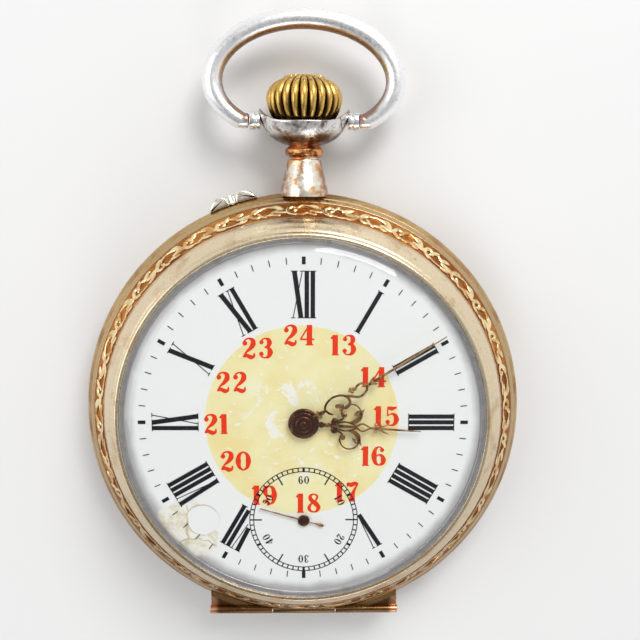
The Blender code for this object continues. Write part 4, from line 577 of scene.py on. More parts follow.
CROWN, BAND, PENDANT, HANDS, BOW = crown_look(), band_look(), pendant_look(), hand_look(), bow_look()
ENAMEL, GLASS, BACK = enamel_look(), glass_look(), back_look()
BLACK = print_look("black_print", (0.004, 0.006, 0.010), (0.018, 0.025, 0.035))
RED = print_look("red_print", (0.80, 0.034, 0.002), (0.82, 0.09, 0.012))
HUB_TONES = (0.085, 0.03, 0.016), (0.34, 0.17, 0.09), (0.025, 0.012, 0.006)
HUB = worn_metal("brown_hub", *HUB_TONES, (0.25, 0.4), (0.6, 0.72), 1.0).material
RUBY = Look("ruby", (0.5, 0.01, 0.06), 0.05, 0.0).material


# ---------------------------------------------------------------- case


def carved(made, rods):
    """A closed mesh with rods along X taken away: each rod is (y, z, points of (radius, x))."""
    tools = Shape()
    for y, z, profile in rods:
        tools.add(moved(lathe(profile, 40, closed=False), (0, y, z), ALONG_X))
    piece, tool = [placed("carving", mesh_of("carving", np.asarray(points).tolist(), faces))
                   for points, faces in (made, (tools.points, tools.faces))]
    cut = piece.modifiers.new("cut", "BOOLEAN")
    cut.operation, cut.solver, cut.object = "DIFFERENCE", "EXACT", tool
    bpy.context.view_layer.update()
    after = piece.evaluated_get(bpy.context.evaluated_depsgraph_get()).to_mesh()
    points = [tuple(v.co) for v in after.vertices]
    faces = [tuple(f.vertices) for f in after.polygons]
    for thing in (piece, tool):
        mesh = thing.data
        bpy.data.objects.remove(thing)
        bpy.data.meshes.remove(mesh)
    return points, faces


def knuckles(shape, y, z, spans, radius, bore, tongue=None):
    """Short rolled tubes along X with the tongues that carry them, where they have any."""
    for a, b in spans:
        profile = rounded([(bore, a), (radius, a), (radius, b), (bore, b)], 0.06, 2)
        shape.add(moved(lathe(profile, 40), (0, y, z), ALONG_X))
        if tongue:
            inner_y, low, high = tongue
            start = y + 0.35 * bore + 0.65 * radius
            outline = [(a + 0.1, start), (b - 0.1, start), (b - 0.1, inner_y), (a + 0.1, inner_y)]
            shape.add(slab(outline, low, high, 0.02, 1))


def hinge_parts(half, radius, pin_r):
    """Spans of the fixed and the moving knuckles, and the rods that make room in each piece."""
    third, bore = half / 3, pin_r + 0.03
    channel, room, slack = (bore + radius) / 2, radius + RUN, 2 * RUN
    spans = [(-half, -third - RUN), (third + RUN, half)]
    a, b = third + RUN - slack, half + slack
    moving = [(room, -b), (room, -a), (channel, -a), (channel, a), (room, a), (room, b)]
    a, b = third + 2 * RUN, half - RUN
    fixed = [(channel, -b), (channel, -a), (room, -a), (room, a), (channel, a), (channel, b)]
    return bore, spans, [(-third, third)], fixed, moving


def build_shells():
    bezel_z, back_z = BEZEL_PARTING_Z + SNAP / 2, BACK_PARTING_Z - SNAP / 2
    bore, outer_spans, middle_span, fixed, moving = hinge_parts(HINGE_HALF, HINGE_R, HINGE_PIN_R)
    dust_y, dust_z = CUVETTE_HINGE
    dust_sizes = CUVETTE_HINGE_HALF, CUVETTE_HINGE_R, CUVETTE_PIN_R
    dust_bore, dust_outer, dust_middle, dust_fixed, dust_moving = hinge_parts(*dust_sizes)
    inner_y = 0.3 - math.sqrt(PARTING_R**2 - HINGE_HALF**2)

    band = arc(PARTING_R - 0.9, PENDANT_Z, RIM_R - PARTING_R + 0.9, -40, 40, 14)
    profile = [
        (CASE_BORE_R, CUVETTE_SEAT_Z), (BACK_COLLAR_R, CUVETTE_SEAT_Z), (BACK_COLLAR_R, BACK_PARTING_Z),
        (PARTING_R, BACK_PARTING_Z), *band, (PARTING_R, BEZEL_PARTING_Z), (COLLAR_R, BEZEL_PARTING_Z),
        (COLLAR_R, LEDGE_Z), (CASE_BORE_R, LEDGE_Z),
    ]
    rods = [(HINGE_Y, bezel_z, fixed), (HINGE_Y, back_z, fixed), (dust_y, dust_z, dust_fixed)]
    middle = Shape().add(carved(lathe(rounded(profile, 0.07, 2), 240), rods))
    above = (inner_y, bezel_z - 0.4, BEZEL_PARTING_Z - 0.02)
    below = (inner_y, BACK_PARTING_Z + 0.02, back_z + 0.38)
    knuckles(middle, HINGE_Y, bezel_z, outer_spans, HINGE_R, bore, above)
    knuckles(middle, HINGE_Y, back_z, outer_spans, HINGE_R, bore, below)
    seat = (0.4 - CUVETTE_R, CUVETTE_SEAT_Z + 0.01, dust_z + 0.3)
    knuckles(middle, dust_y, dust_z, dust_outer, CUVETTE_HINGE_R, dust_bore, seat)
    middle.build("case_band", [BAND_PLATE.material], "case", "plated_copper", ["case_middle"])

    profile = [
        (COLLAR_R + SNAP, BEZEL_PARTING_Z + SNAP), (PARTING_R, BEZEL_PARTING_Z + SNAP),
        *smooth([(24.62, 5.95), (24.4, 6.25), (24.17, 6.45)], 3),
        (24.08, 6.40), (23.24, 7.27), (22.62, 8.45), (22.66, 8.56),
        *smooth([(22.6, 8.66), (22.42, 9.2), (22.1, 9.8), (21.7, 10.3), (21.43, 10.66)], 4),
        (21.3, 10.78), (21.06, 10.92), (20.98, 11.02), (21.1, 11.12), (21.08, 11.34), (20.94, 11.58),
        (20.8, 11.67), (20.5, 11.67),
        (GLASS_R + SNAP, 11.62), (GLASS_R + SNAP, GLASS_SEAT_Z), (19.95, GLASS_SEAT_Z), (19.9, GLASS_SEAT_Z - 0.06),
        (19.9, GLASS_SEAT_Z - 0.2), (20.8, DIAL_TOP_Z + 0.1), (21.1, DIAL_SEAT_Z), (21.35, PLATE_TOP_Z + 0.1),
        (COLLAR_R + SNAP, LEDGE_Z + 0.1),
    ]
    lid = Shape().add(carved(lathe(rounded(profile, 0.05, 2), 256), [(HINGE_Y, bezel_z, moving)]))
    spots = np.array(lid.points)
    middles = np.array([spots[list(face)].mean(0) for face in lid.faces])
    within = np.hypot(middles[:, 0], middles[:, 1]) < GLASS_R + SNAP + 0.02
    # Faces of the glass seat take the grey seat look, a painted shade.
    lid.marks = (within & (middles[:, 2] < SEAT_TOP_Z)).astype(int).tolist()
    knuckles(lid, HINGE_Y, bezel_z, middle_span, HINGE_R, bore)
    lid.build("bezel_ring", [shell.material, SEAT], "bezel", "plated_copper", ["bezel"])

    rise = BACK_PARTING_Z - 0.65
    outer = arc(BACK_FLAT_R, rise, PARTING_R - BACK_FLAT_R, -90, 0, 22, radius_y=rise)
    inner = arc(BACK_FLAT_R, BACK_WALL + 2.1, BACK_COLLAR_R + SNAP - BACK_FLAT_R, 0, -90, 16, radius_y=2.1)
    top = BACK_PARTING_Z - SNAP
    profile = [(0, 0), *outer, (PARTING_R, top - 0.03), (PARTING_R - 0.03, top), (BACK_COLLAR_R + SNAP, top), *inner,
               (0, BACK_WALL)]
    back = Shape().add(carved(lathe(profile, 240, closed=False), [(HINGE_Y, back_z, moving)]))
    knuckles(back, HINGE_Y, back_z, middle_span, HINGE_R, bore)
    back.build("back_shell", [BACK], "back", "plated_copper", ["back_cover"])

    flat, top = 17.0, CUVETTE_SEAT_Z - SNAP
    rise = top - CUVETTE_Z - 0.2
    outer = arc(flat, CUVETTE_Z + rise, CUVETTE_R - flat, -90, 0, 14, radius_y=rise)
    inner = arc(flat, top, CUVETTE_R - CUVETTE_WALL - flat, 0, -90, 12, radius_y=top - CUVETTE_Z - CUVETTE_WALL)
    profile = [(0, CUVETTE_Z), *outer, (CUVETTE_R, top), *inner, (0, CUVETTE_Z + CUVETTE_WALL)]
    dust = Shape().add(carved(lathe(profile, 200, closed=False), [(dust_y, dust_z, dust_moving)]))
    leaf = (0.4 - CUVETTE_R, dust_z - 0.3, top)
    knuckles(dust, dust_y, dust_z, dust_middle, CUVETTE_HINGE_R, dust_bore, leaf)
    dust.build("dust_cover_shell", [inside.material], "dust_cover", "brass", ["cuvette"])


def relief_motif():
    """One repeat of the running scroll: lines of (points, widths, height), a = along, w = across, in mm."""
    lines = []

    def spiral(ca, cw, r0, start, turns, direction, width, height=1.0):
        t = np.linspace(0, 1, 20)
        angle = math.radians(start) + direction * t * turns * TAU
        r = r0 * (1 - 0.78 * t)
        line = np.stack([ca + r * np.cos(angle), cw + r * np.sin(angle)], 1)
        lines.append((line, np.linspace(width, width * 0.6, 20), height))
        end = line[-1]
        lines.append((np.array([end, end + 0.01]), np.array([0.3, 0.3]), 1.15))

    def leaf(a, w, length, angle, bend, width, height=0.9):
        t = np.linspace(0, 1, 12)
        turn = math.radians(angle) + bend * t
        steps = np.stack([np.cos(turn), np.sin(turn)], 1) * length / 12
        widths = width * np.sin(np.pi * (0.12 + 0.88 * t)) ** 0.8 + 0.04
        lines.append((np.array([a, w]) + np.cumsum(steps, 0), widths, height))

    for side, at in ((1, 0.0), (-1, 4.1), (1, 8.2)):
        t = np.linspace(0, 1, 16)
        stem = np.stack([at + 4.1 * t, side * 0.86 * np.cos(np.pi * t)], 1)
        lines.append((stem, 0.24 + 0.16 * np.sin(np.pi * t), 0.8))
        spiral(at + 1.15, -side * 0.14, 0.86, 95 * side, 0.92, -side, 0.56)
        leaf(at + 2.0, side * 0.3, 1.7, -24 * side, 0.5 * side, 0.62)
        leaf(at + 2.25, -side * 0.3, 1.5, -48 * side, 0.9 * side, 0.52)
        leaf(at + 2.6, side * 0.8, 1.5, -6 * side, -0.6 * side, 0.5)
        leaf(at + 0.1, -side * 0.95, 1.1, 24 * side, 0.7 * side, 0.44)
        leaf(at + 3.4, side * 0.1, 1.1, 60 * side, -1.1 * side, 0.4)
    return lines, 12.3


def build_band():
    """The engraved band as its own ring of relief, standing in the bezel's hollow."""
    columns, rows = 2064, 27
    middle = 23.38
    repeats = 12
    lines, period = relief_motif()
    a = (np.arange(columns) + 0.5) / columns * repeats * period % period
    path = smooth(BAND_SHOULDER, 20)
    lengths = np.concatenate([[0], np.cumsum(np.linalg.norm(np.diff(path, axis=0), axis=1))])
    across = np.linspace(0, lengths[-1], rows)
    r = np.interp(across, lengths, path[:, 0])
    z = np.interp(across, lengths, path[:, 1])
    dr, dz = np.gradient(r), np.gradient(z)
    size = np.hypot(dr, dz)
    out_r, out_z = dz / size, -dr / size
    w = across - lengths[-1] / 2
    A, W = np.meshgrid(a, w, indexing="ij")
    height = np.zeros_like(A)
    for points, widths, tall in lines:
        for shift in (-period, 0, period):
            p = points + np.array([shift, 0])
            reach = (a > p[:, 0].min() - 0.6) & (a < p[:, 0].max() + 0.6)
            if not reach.any():
                continue
            x, y = A[reach][..., None], W[reach][..., None]
            p0, p1 = p[:-1], p[1:]
            d = p1 - p0
            k = ((x - p0[:, 0]) * d[:, 0] + (y - p0[:, 1]) * d[:, 1]) / np.maximum((d**2).sum(1), 1e-9)
            k = np.clip(k, 0, 1)
            width = widths[:-1] * (1 - k) + widths[1:] * k
            away = np.hypot(x - p0[:, 0] - k * d[:, 0], y - p0[:, 1] - k * d[:, 1])
            dome = np.sqrt(np.clip(1 - (away / np.maximum(width * 0.62, 0.05)) ** 2, 0, 1)) * tall
            height[reach] = np.maximum(height[reach], dome.max(-1))
    height = height * np.clip((lengths[-1] / 2 - np.abs(w)) / 0.12, 0, 1)
    order = [*range(rows), rows - 1, 0]
    lift = np.concatenate([0.2 * height - 0.03, np.full((columns, 2), -0.16)], 1)
    R, Z = r[order] + out_r[order] * lift, z[order] + out_z[order] * lift
    angle = ((np.arange(columns) + 0.5) * TAU / columns)[:, None]
    points = np.stack([R * np.cos(angle), R * np.sin(angle), Z], 2)
    values = np.concatenate([height, np.zeros((columns, 2))], 1)
    faces = grid_faces(columns, len(order), wrap_rows=True)
    shape = Shape().add((points.reshape(-1, 3), faces), 0, values.reshape(-1))
    shape.build("bezel_engraving", [BAND], "bezel", "plated_copper", sharp=60)


def build_crystal():
    edge, foot = GLASS_R - 0.01, GLASS_SEAT_Z + 0.07
    outer = smooth([(0, 13.5), (6, 13.45), (12, 13.3), (18.0, 13.05), (19.4, 12.8), (20.15, 12.25), (edge, 11.7)], 8)
    inner = smooth([(19.95, foot), (19.7, 11.9), (19.1, 12.25), (18.0, 12.4), (12, 12.65), (6, 12.8), (0, 12.85)], 8)
    profile = [*outer, (edge, foot), *inner]
    glass = Shape().add(lathe(profile, 192, closed=False))
    glass.build("domed_glass", [GLASS], "bezel", "crystal_glass", ["crystal"], sharp=30)


# ---------------------------------------------------------------- pendant, bow and crown


def boat(rings, steps=96):
    """Oval rings about Y whose ends rise: each is (x radius, z radius, height, lift), a closed skin."""
    angles = np.arange(steps) * TAU / steps
    rows = []
    for wide, deep, height, lift in rings:
        up = height + lift * np.abs(np.cos(angles)) ** 5
        rows.append(np.stack([wide * np.cos(angles), up, PENDANT_Z + deep * np.sin(angles)], 1))
    return np.concatenate(rows), grid_faces(len(rings), steps, wrap_rows=True)


def build_pendant():
    foot = math.sqrt(RIM_R**2 - 2.7**2) - 0.3
    cone = [(2.68, foot), (2.66, 25.4), (2.5, 26.2), (2.24, 27.2), (2.02, 28.1), (1.92, 28.75), (1.8, 28.86)]
    collar = [(1.5, 28.98), (1.56, 29.08), (1.95, 29.22), (2.14, 29.5), (2.12, 29.95), (1.86, 30.22), (1.6, 30.4)]
    neck = [(1.05, foot), *smooth(cone, 6), *smooth(collar, 5), (1.6, 30.9), (1.05, 30.9)]
    shape = Shape().add(moved(lathe(neck, 96), (0, 0, PENDANT_Z), ALONG_Y))
    outside = [(1.2, 1.2, 30.3, 0), (1.75, 1.75, 30.42, 0), (2.7, 2.4, 30.72, 0), (3.8, 3.1, 31.35, 0.05),
               (4.6, 3.5, 32.1, 0.3), (4.98, 3.66, 32.65, 0.85), (5.1, 3.7, 32.88, 1.3)]
    rim = [(5.06, 3.68, 32.94, 1.42), (4.9, 3.55, 32.96, 1.44), (4.78, 3.45, 32.92, 1.36)]
    hollow = [(4.7, 3.4, 32.84, 1.15), (4.2, 3.0, 32.2, 0.3), (3.2, 2.5, 31.6, 0), (1.2, 1.2, 31.3, 0)]
    shape.add(boat([*smooth(outside, 5), *rim, *smooth(hollow, 5)]))
    shape.build("pendant_head", [PENDANT], "case", "silvered_metal", ["pendant"], sharp=50)
    for side in (-1, 1):
        bead = [(0.5, 4.92), (0.96, 4.92), (1.0, 5.3), (0.86, 5.36), (0.86, 5.44), (1.02, 5.5), (1.02, 6.08),
                (0.5, 6.08)]
        profile = rounded(bead, 0.06, 3)
        turn = ALONG_X if side > 0 else BACK_ALONG_X
        bead = Shape().add(moved(lathe(profile, 48), (0, BOW_PIVOT_Y, PENDANT_Z), turn))
        name = "right" if side > 0 else "left"
        bead.build(f"bead_{name}", [bow_silver.material], "case", "silvered_metal", [f"bow_bush_{name}"])


def build_bow():
    drop = math.degrees(math.acos(BOW_PIVOT_X / BOW_HALF_WIDTH))
    side = arc(0, BOW_CENTRE_Y, BOW_HALF_WIDTH, -drop, 0, 16, radius_y=BOW_DROP)
    top = arc(0, BOW_CENTRE_Y, BOW_HALF_WIDTH, 0, 180, 72, radius_y=BOW_RISE)
    points = side[:-1] + top + [(-x, y) for x, y in reversed(side)][1:]
    radii = [BOW_WIRE_R * min(1.0, 0.84 + 0.16 * (y - BOW_PIVOT_Y) / 3) for _, y in points]
    shape = Shape().add(moved(tube(points, radii, 32), (0, 0, PENDANT_Z)))
    for sign in (-1, 1):
        turn = ALONG_X if sign > 0 else BACK_ALONG_X
        eye = [(0.001, 6.16), (0.74, 6.16), (0.84, 6.4), (0.84, 7.3), (0.6, 7.7), (0.001, 7.75)]
        pin = [(0.001, 4.86), (0.45, 4.86), (0.45, 6.6), (0.001, 6.6)]
        for profile, steps in ((rounded(eye, 0.22, 4, closed=False), 40), (pin, 24)):
            shape.add(moved(lathe(profile, steps, closed=False), (0, BOW_PIVOT_Y, PENDANT_Z), turn))
    shape.build("bow_loop", [BOW], "bow", "silvered_metal", ["bow"], sharp=50)


def build_crown():
    foot, top = CROWN_FOOT_Y, CROWN_TOP_Y
    flutes = [(3.2, 0), (3.5, 0.25), (3.86, 0.85), (4.14, 1.7), (4.22, 2.4), (4.08, 3.1), (3.68, 3.75), (3.1, 4.2),
              (2.5, 4.48)]
    profile = [(0.001, foot - 1.3), (1.6, foot - 1.3), (2.2, foot - 0.02),
               *smooth([(radius, foot + height) for radius, height in flutes], 5),
               (2.2, top - 0.3), (2.1, top - 0.34), (1.2, top - 0.2), (0.001, top - 0.16)]
    steps = FLUTES * 16

    def depth_at(height, radius):
        low = min(1.0, max(0.0, (height - foot + 0.05) / 0.5))
        high = min(1.0, max(0.0, (top - 0.3 - height) / 0.7))
        return 0.42 * low * high ** 0.5 * (radius > 2.3)

    def wave(r, height, angles):
        ridge = np.abs(np.cos(FLUTES / 2 * angles)) ** 0.8
        return r - depth_at(height, r[0]) * (1 - ridge)

    made = lathe(profile, steps, closed=False, wave=wave)
    angles = np.arange(steps) * TAU / steps
    valley = 1 - np.abs(np.cos(FLUTES / 2 * angles)) ** 0.8
    values = np.concatenate([valley * min(1.0, depth_at(h, r) / 0.3) for r, h in profile])
    shape = Shape().add(moved(made, (0, 0, PENDANT_Z), ALONG_Y), 0, values)
    shape.build("fluted_crown", [CROWN], "winding_stem", "gilt_metal", ["crown"], sharp=60)


def build_pin_guard():
    half, out, seat = 2.8, RIM_R + 1.15, RIM_R + 0.02
    rise = out - seat
    side = [(0.42, -0.1), (0.44, 0.12), (0.6, 0.84), (0.8, rise - 0.12), (1.2, rise),
            (half - 1.0, 0.98), (half - 0.3, 0.42), (half, -0.16)]
    right = smooth(side, 5).tolist()
    turn = SET_PIN_AT - math.pi / 2
    at = polar(seat, SET_PIN_AT)
    shape = Shape()
    for sign in (1, -1):
        lobe = [(sign * x, y) for x, y in right]
        under = [(x, math.sqrt(seat**2 - x * x) - seat) for x in np.linspace(sign * half, sign * 0.42, 10)]
        outline = lobe + under[1:-1]
        shape.add(moved(slab(outline, -0.8, 0.8, 0.22, 4), (*at, PENDANT_Z), (0, 0, turn)))
    bridge = slab([(-0.6, -0.02), (0.6, -0.02), (0.6, 0.12), (-0.6, 0.12)], -0.78, 0.78, 0.03, 1)
    shape.add(moved(bridge, (*at, PENDANT_Z), (0, 0, turn)))
    shape.build("pin_shoulders", [shoulders.material], "case", "silvered_metal", ["pin_guard"], sharp=50)


# ---------------------------------------------------------------- dial


def strokes(text):
    """Lines from text in hundredths: x y x y | widths; and so on."""
    out = []
    for stroke in text.split(";"):
        line, widths = ([float(n) / 100 for n in half.split()] for half in stroke.split("|"))
        out.append((list(zip(line[::2], line[1::2])), widths))
    return out


DIGITS = {
    "0": "30 98 14 82 9 50 14 18 30 2 | 5 12 20 12 5; 30 98 46 82 51 50 46 18 30 2 | 5 12 20 12 5",
    "1": "30 0 30 100 | 19 19; 26 95 18 86 12 82 | 9 9 5; 16 2 44 2 | 4.5 4.5",
    "2": "12 72 14 88 30 97.5 46 88 47 68 36 48 20 30 9 8 | 8 6 6 15 19 13 7 6; 14 74 15 74.5 | 17 17; "
         "7 5 20 13 38 5 50 9 53 26 | 6 13 16 10 4",
    "3": "12 80 18 93 30 97.5 42 91 46 76 40 60 26 54 | 7 5 5 14 18 12 4; "
         "26 54 42 50 49 30 42 9 28 2.5 15 7 10 20 | 4 12 20 13 5 5 7; 14 79 14.5 79.5 | 15 15; "
         "13 21 13.5 21.5 | 16 16",
    "4": "40 0 40 100 | 19 19; 38 98 4 30 | 5 6; 2 29 60 29 | 6 6; 24 2 56 2 | 4.5 4.5",
    "5": "13 93 30 88 50 95 | 10 16 5; 13 97 12 50 | 5 5; "
         "12 50 27 61 42 55 49 32 41 9 26 2.5 14 8 10 20 | 4 5 13 20 12 5 5 7; 13 20 13.5 20.5 | 16 16",
    "6": "44 84 37 95 28 97 15 84 10 50 16 15 30 2.5 | 7 5 5 12 20 13 5; "
         "30 2.5 45 12 49 30 43 50 29 56 15 42 | 5 14 19 12 5 4; 43 81 43.5 81.5 | 15 15",
    "7": "7 76 9 93 22 88 40 95 53 93 | 3 10 17 15 4; 51 93 36 60 28 30 27 0 | 5 10 18 22",
    "8": "30 97.5 17 90 15 76 24 60 38 47 49 28 43 9 30 2.5 | 5 10 14 16 18 16 10 5; "
         "30 97.5 42 90 44 78 36 62 20 47 10 26 16 9 30 2.5 | 5 7 8 6 7 13 9 5",
}
DIGITS = {sign: strokes(text) for sign, text in DIGITS.items()}
DIGITS["9"] = [([(0.59 - x, 1 - y) for x, y in line], widths) for line, widths in DIGITS["6"]]


def turned(x, y, at, turn):
    c, s = math.cos(turn), math.sin(turn)
    return at[0] + x * c - y * s, at[1] + x * s + y * c


class Print:
    """Flat marks on the dial, each a hair above the last so that none share a plane."""

    def __init__(self, low, rise):
        self.shape, self.low, self.rise, self.count = Shape(), low, rise, 0

    def height(self):
        self.count += 1
        return self.low + self.rise + 0.0007 * (self.count % 9)

    def line(self, path, widths, at=(0, 0), turn=0.0):
        x, y = np.array(path, float).T
        self.shape.add(ribbon(np.stack(turned(x, y, at, turn), 1), widths, self.low, self.height()))

    def ball(self, centre, radius, at=(0, 0), turn=0.0):
        ring = [polar(radius, a, turned(*centre, at, turn)) for a in np.arange(14) * TAU / 14]
        self.shape.add(slab(ring, self.low, self.height()))

    def number(self, text, height, at, turn=0.0, step=0.62, broad=1.0, bold=1.0):
        """An upright number about a point. A stroke that hardly moves is a ball."""
        wide = step * (len(text) - 1) + 0.6
        for i, sign in enumerate(text):
            shift = i * step - wide / 2
            for line, widths in DIGITS[sign]:
                widths = [w * bold for w in widths]
                points = [((x + shift) * height * broad, (y - 0.5) * height) for x, y in line]
                if len(line) == 2 and abs(line[0][0] - line[1][0]) < 0.01 and abs(line[0][1] - line[1][1]) < 0.01:
                    self.ball(points[0], widths[0] * height / 2, at, turn)
                else:
                    self.line(curve(points), np.array(widths) * height, at, turn)

    def ring(self, radius, width, centre, steps=180):
        high = self.height()
        inner, outer = radius - width / 2, radius + width / 2
        made = lathe([(inner, self.low), (outer, self.low), (outer, high), (inner, high)], steps)
        self.shape.add(moved(made, (*centre, 0)))


ROMAN = {1: "I", 2: "II", 3: "III", 4: "IIII", 5: "V", 7: "VII", 8: "VIII", 9: "IX", 10: "X", 11: "XI", 12: "XII"}
# Each letter's width and its strokes: foot and head across it, thickness, half a serif
LETTERS = {
    "I": (0.46, [(0.23, 0.23, 0.48, 0.36)]),
    "V": (1.0, [(0.5, 0.22, 0.5, 0.36), (0.54, 0.94, 0.09, 0.2)]),
    "X": (1.12, [(0.92, 0.2, 0.52, 0.36), (0.06, 1.06, 0.09, 0.24)]),
}
LETTER_GAP, NUMERAL_IN, NUMERAL_OUT = 0.2, 11.75, 16.85
# Middles of the red numbers from 13 on, which the printer didn't centre on their hours
RED_PLACES = [
    (4.22, 8.74), (7.6, 5.15), (9.10, 0.72), (7.71, -3.91), (4.81, -8.13), (0.39, -9.42), (-4.59, -8.46),
    (-7.70, -4.47), (-9.64, -0.20), (-8.02, 4.57), (-5.12, 8.38), (-0.56, 9.84),
]


def outside_seconds(start, end):
    """The part of a straight stroke that lies outside the seconds dial, or None."""
    a, b = np.array(start, float), np.array(end, float)
    keep = [t for t in np.linspace(0, 1, 81) if np.hypot(*(a + (b - a) * t - SECONDS)) > CUT_R]
    if len(keep) < 4:
        return None
    return a + (b - a) * keep[0], a + (b - a) * keep[-1], keep


def draw_numeral(ink, text, hour):
    place = lambda x, y: turned(x, y, (0, 0), -hour * TAU / 12)
    x = -(sum(LETTERS[k][0] for k in text) + LETTER_GAP * (len(text) - 1)) / 2

    def stroke(x0, y0, x1, y1, width, serif):
        found = outside_seconds(place(x0, y0), place(x1, y1))
        if found is None:
            return
        a, b, keep = found
        ink.line([a, b], [width, width])
        for flag, (sx, sy) in ((keep[0] < 0.01, (x0, y0)), (keep[-1] > 0.99, (x1, y1))):
            if flag and serif:
                ends = [place(sx - serif, sy), place(sx + serif, sy)]
                if min(np.hypot(e[0] - SECONDS[0], e[1] - SECONDS[1]) for e in ends) > CUT_R:
                    ink.line(ends, [0.09, 0.09])

    for letter in text:
        wide, parts = LETTERS[letter]
        for foot, head, width, serif in parts:
            stroke(x + foot, NUMERAL_IN, x + head, NUMERAL_OUT, width, serif)
        x += wide + LETTER_GAP


def build_dial():
    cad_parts["dial"].data.materials.clear()
    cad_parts["dial"].data.materials.append(ENAMEL)
    ink = Print(DIAL_TOP_Z + 0.003, 0.026)
    for minute in range(60):
        angle = TAU / 4 - minute * TAU / 60
        long = minute % 5 == 0
        reach, width = (0.42, 0.4) if long else (0.36, 0.1)
        ink.line([polar(TRACK_R - reach, angle), polar(TRACK_R + reach, angle)], [width, width])
    for hour, text in ROMAN.items():
        draw_numeral(ink, text, hour)
    ink.ring(SECONDS_OUT, 0.09, SECONDS)
    ink.ring(SECONDS_IN, 0.09, SECONDS)
    for second in range(60):
        angle = TAU / 4 - second * TAU / 60
        a, b, width = SECONDS_IN, SECONDS_OUT, 0.13
        if second % 10 == 0:
            width = 0.26
        elif second % 5 == 0:
            a, width = 4.75, 0.15
        ink.line([polar(a, angle, SECONDS), polar(b, angle, SECONDS)], [width, width])
    for tens in range(1, 7):
        angle = tens * TAU / 6
        at = (SECONDS[0] + 4.7 * math.sin(angle), SECONDS[1] + 4.7 * math.cos(angle))
        ink.number(f"{tens}0", 0.9, at, -angle, 0.74)
    ink.shape.build("black_print", [BLACK], "case", "enamel")
    red = Print(DIAL_TOP_Z + 0.004, 0.012)
    for number, at in enumerate(RED_PLACES, 13):
        red.number(str(number), 2.25, at, 0.0, 0.56 if "1" in str(number) else 0.68, 1.2, 1.4)
    red.shape.build("red_print", [RED], "case", "enamel")


# ---------------------------------------------------------------- hands


def dome(radius, height, sides=24, rows=5):
    rise = [(radius * math.cos(a), height * math.sin(a)) for a in np.linspace(0.15, math.pi / 2 - 0.05, rows)]
    return lathe([(radius, 0), *rise, (0.001, height)], sides, closed=False)


def hand_piece(name, low, lines, dots, boss, centre, degrees, body, bold=1.0, thick=HAND_THICK):
    """One pierced hand from lines and dots of (along, aside): aside is to the right of its tip."""
    shape = Shape()
    high = low + thick
    for points, widths in lines:
        widths = [w * bold for w in widths]
        shape.add(ribbon(curve([(s, t) for t, s in points]), widths, low, high, 0.045))
    for ((t, s),), (radius,) in dots:
        shape.add(moved(dome(radius, 0.11), (s, t, low + 0.05)))
        shape.add(moved(lathe([(radius, 0), (radius, 0.06), (0.001, 0.06)], 24, closed=False), (s, t, low)))
    for profile, corner in boss:
        shape.add(lathe(rounded(profile, corner, 2), 64), 1)
    points, _ = moved((shape.points, shape.faces), (*centre, 0), (0, 0, -math.radians(degrees)))
    shape.points = points.tolist()
    shape.build(name, [HANDS, HUB], body, "gilt_metal", [name[6:]], sharp=45)


HOUR_SIDE = """
    300 10 370 30 450 50 520 42 590 12 | 20 16 16 16 12; 490 42 560 58 612 100 630 160 662 210 | 10 36 50 42 3;
    620 170 595 178 575 150 | 16 20 22; 420 190 410 150 440 125 | 14 20 24; 585 0 655 42 750 0 | 16 17 16;
    790 5 870 24 955 58 | 16 18 4; 310 30 335 72 380 74 | 26 30 8"""
HOUR_SIDE_DOTS = "446 128 | 30; 572 142 | 20; 342 62 | 27"
HOUR_DOTS = "195 0 | 34; 275 0 | 27; 340 0 | 24; 805 38 | 20; 805 -38 | 20"
MINUTE_STROKES = """
    120 0 290 0 | 42 20;
    280 5 300 -35 355 -72 435 -86 525 -58 575 5 562 68 500 88 462 60 | 20 17 16 16 17 20 24 24 20;
    290 0 305 45 335 80 | 20 16 10;
    540 -45 610 5 690 62 775 52 820 5 790 -52 735 -58 695 -42 | 12 20 18 18 20 18 18 14;
    800 10 860 2 960 0 1850 0 | 20 26 24 20 7; 850 0 900 -25 940 -45 | 14 16 5; 850 0 900 25 940 50 | 14 16 5"""
MINUTE_DOTS = """
    200 20 | 26; 200 -20 | 26; 240 0 | 24; 460 50 | 32; 425 25 | 26; 442 74 | 22; 685 -42 | 26; 650 -60 | 22;
    650 -26 | 20; 630 -50 | 16"""


def boss_ring(low, profile):
    """A ring of the hub, its heights given above the hand's underside."""
    return [(radius, low + height) for radius, height in profile]


def mirrored(text, side):
    return [([(t, s * side) for t, s in line], widths) for line, widths in strokes(text)]


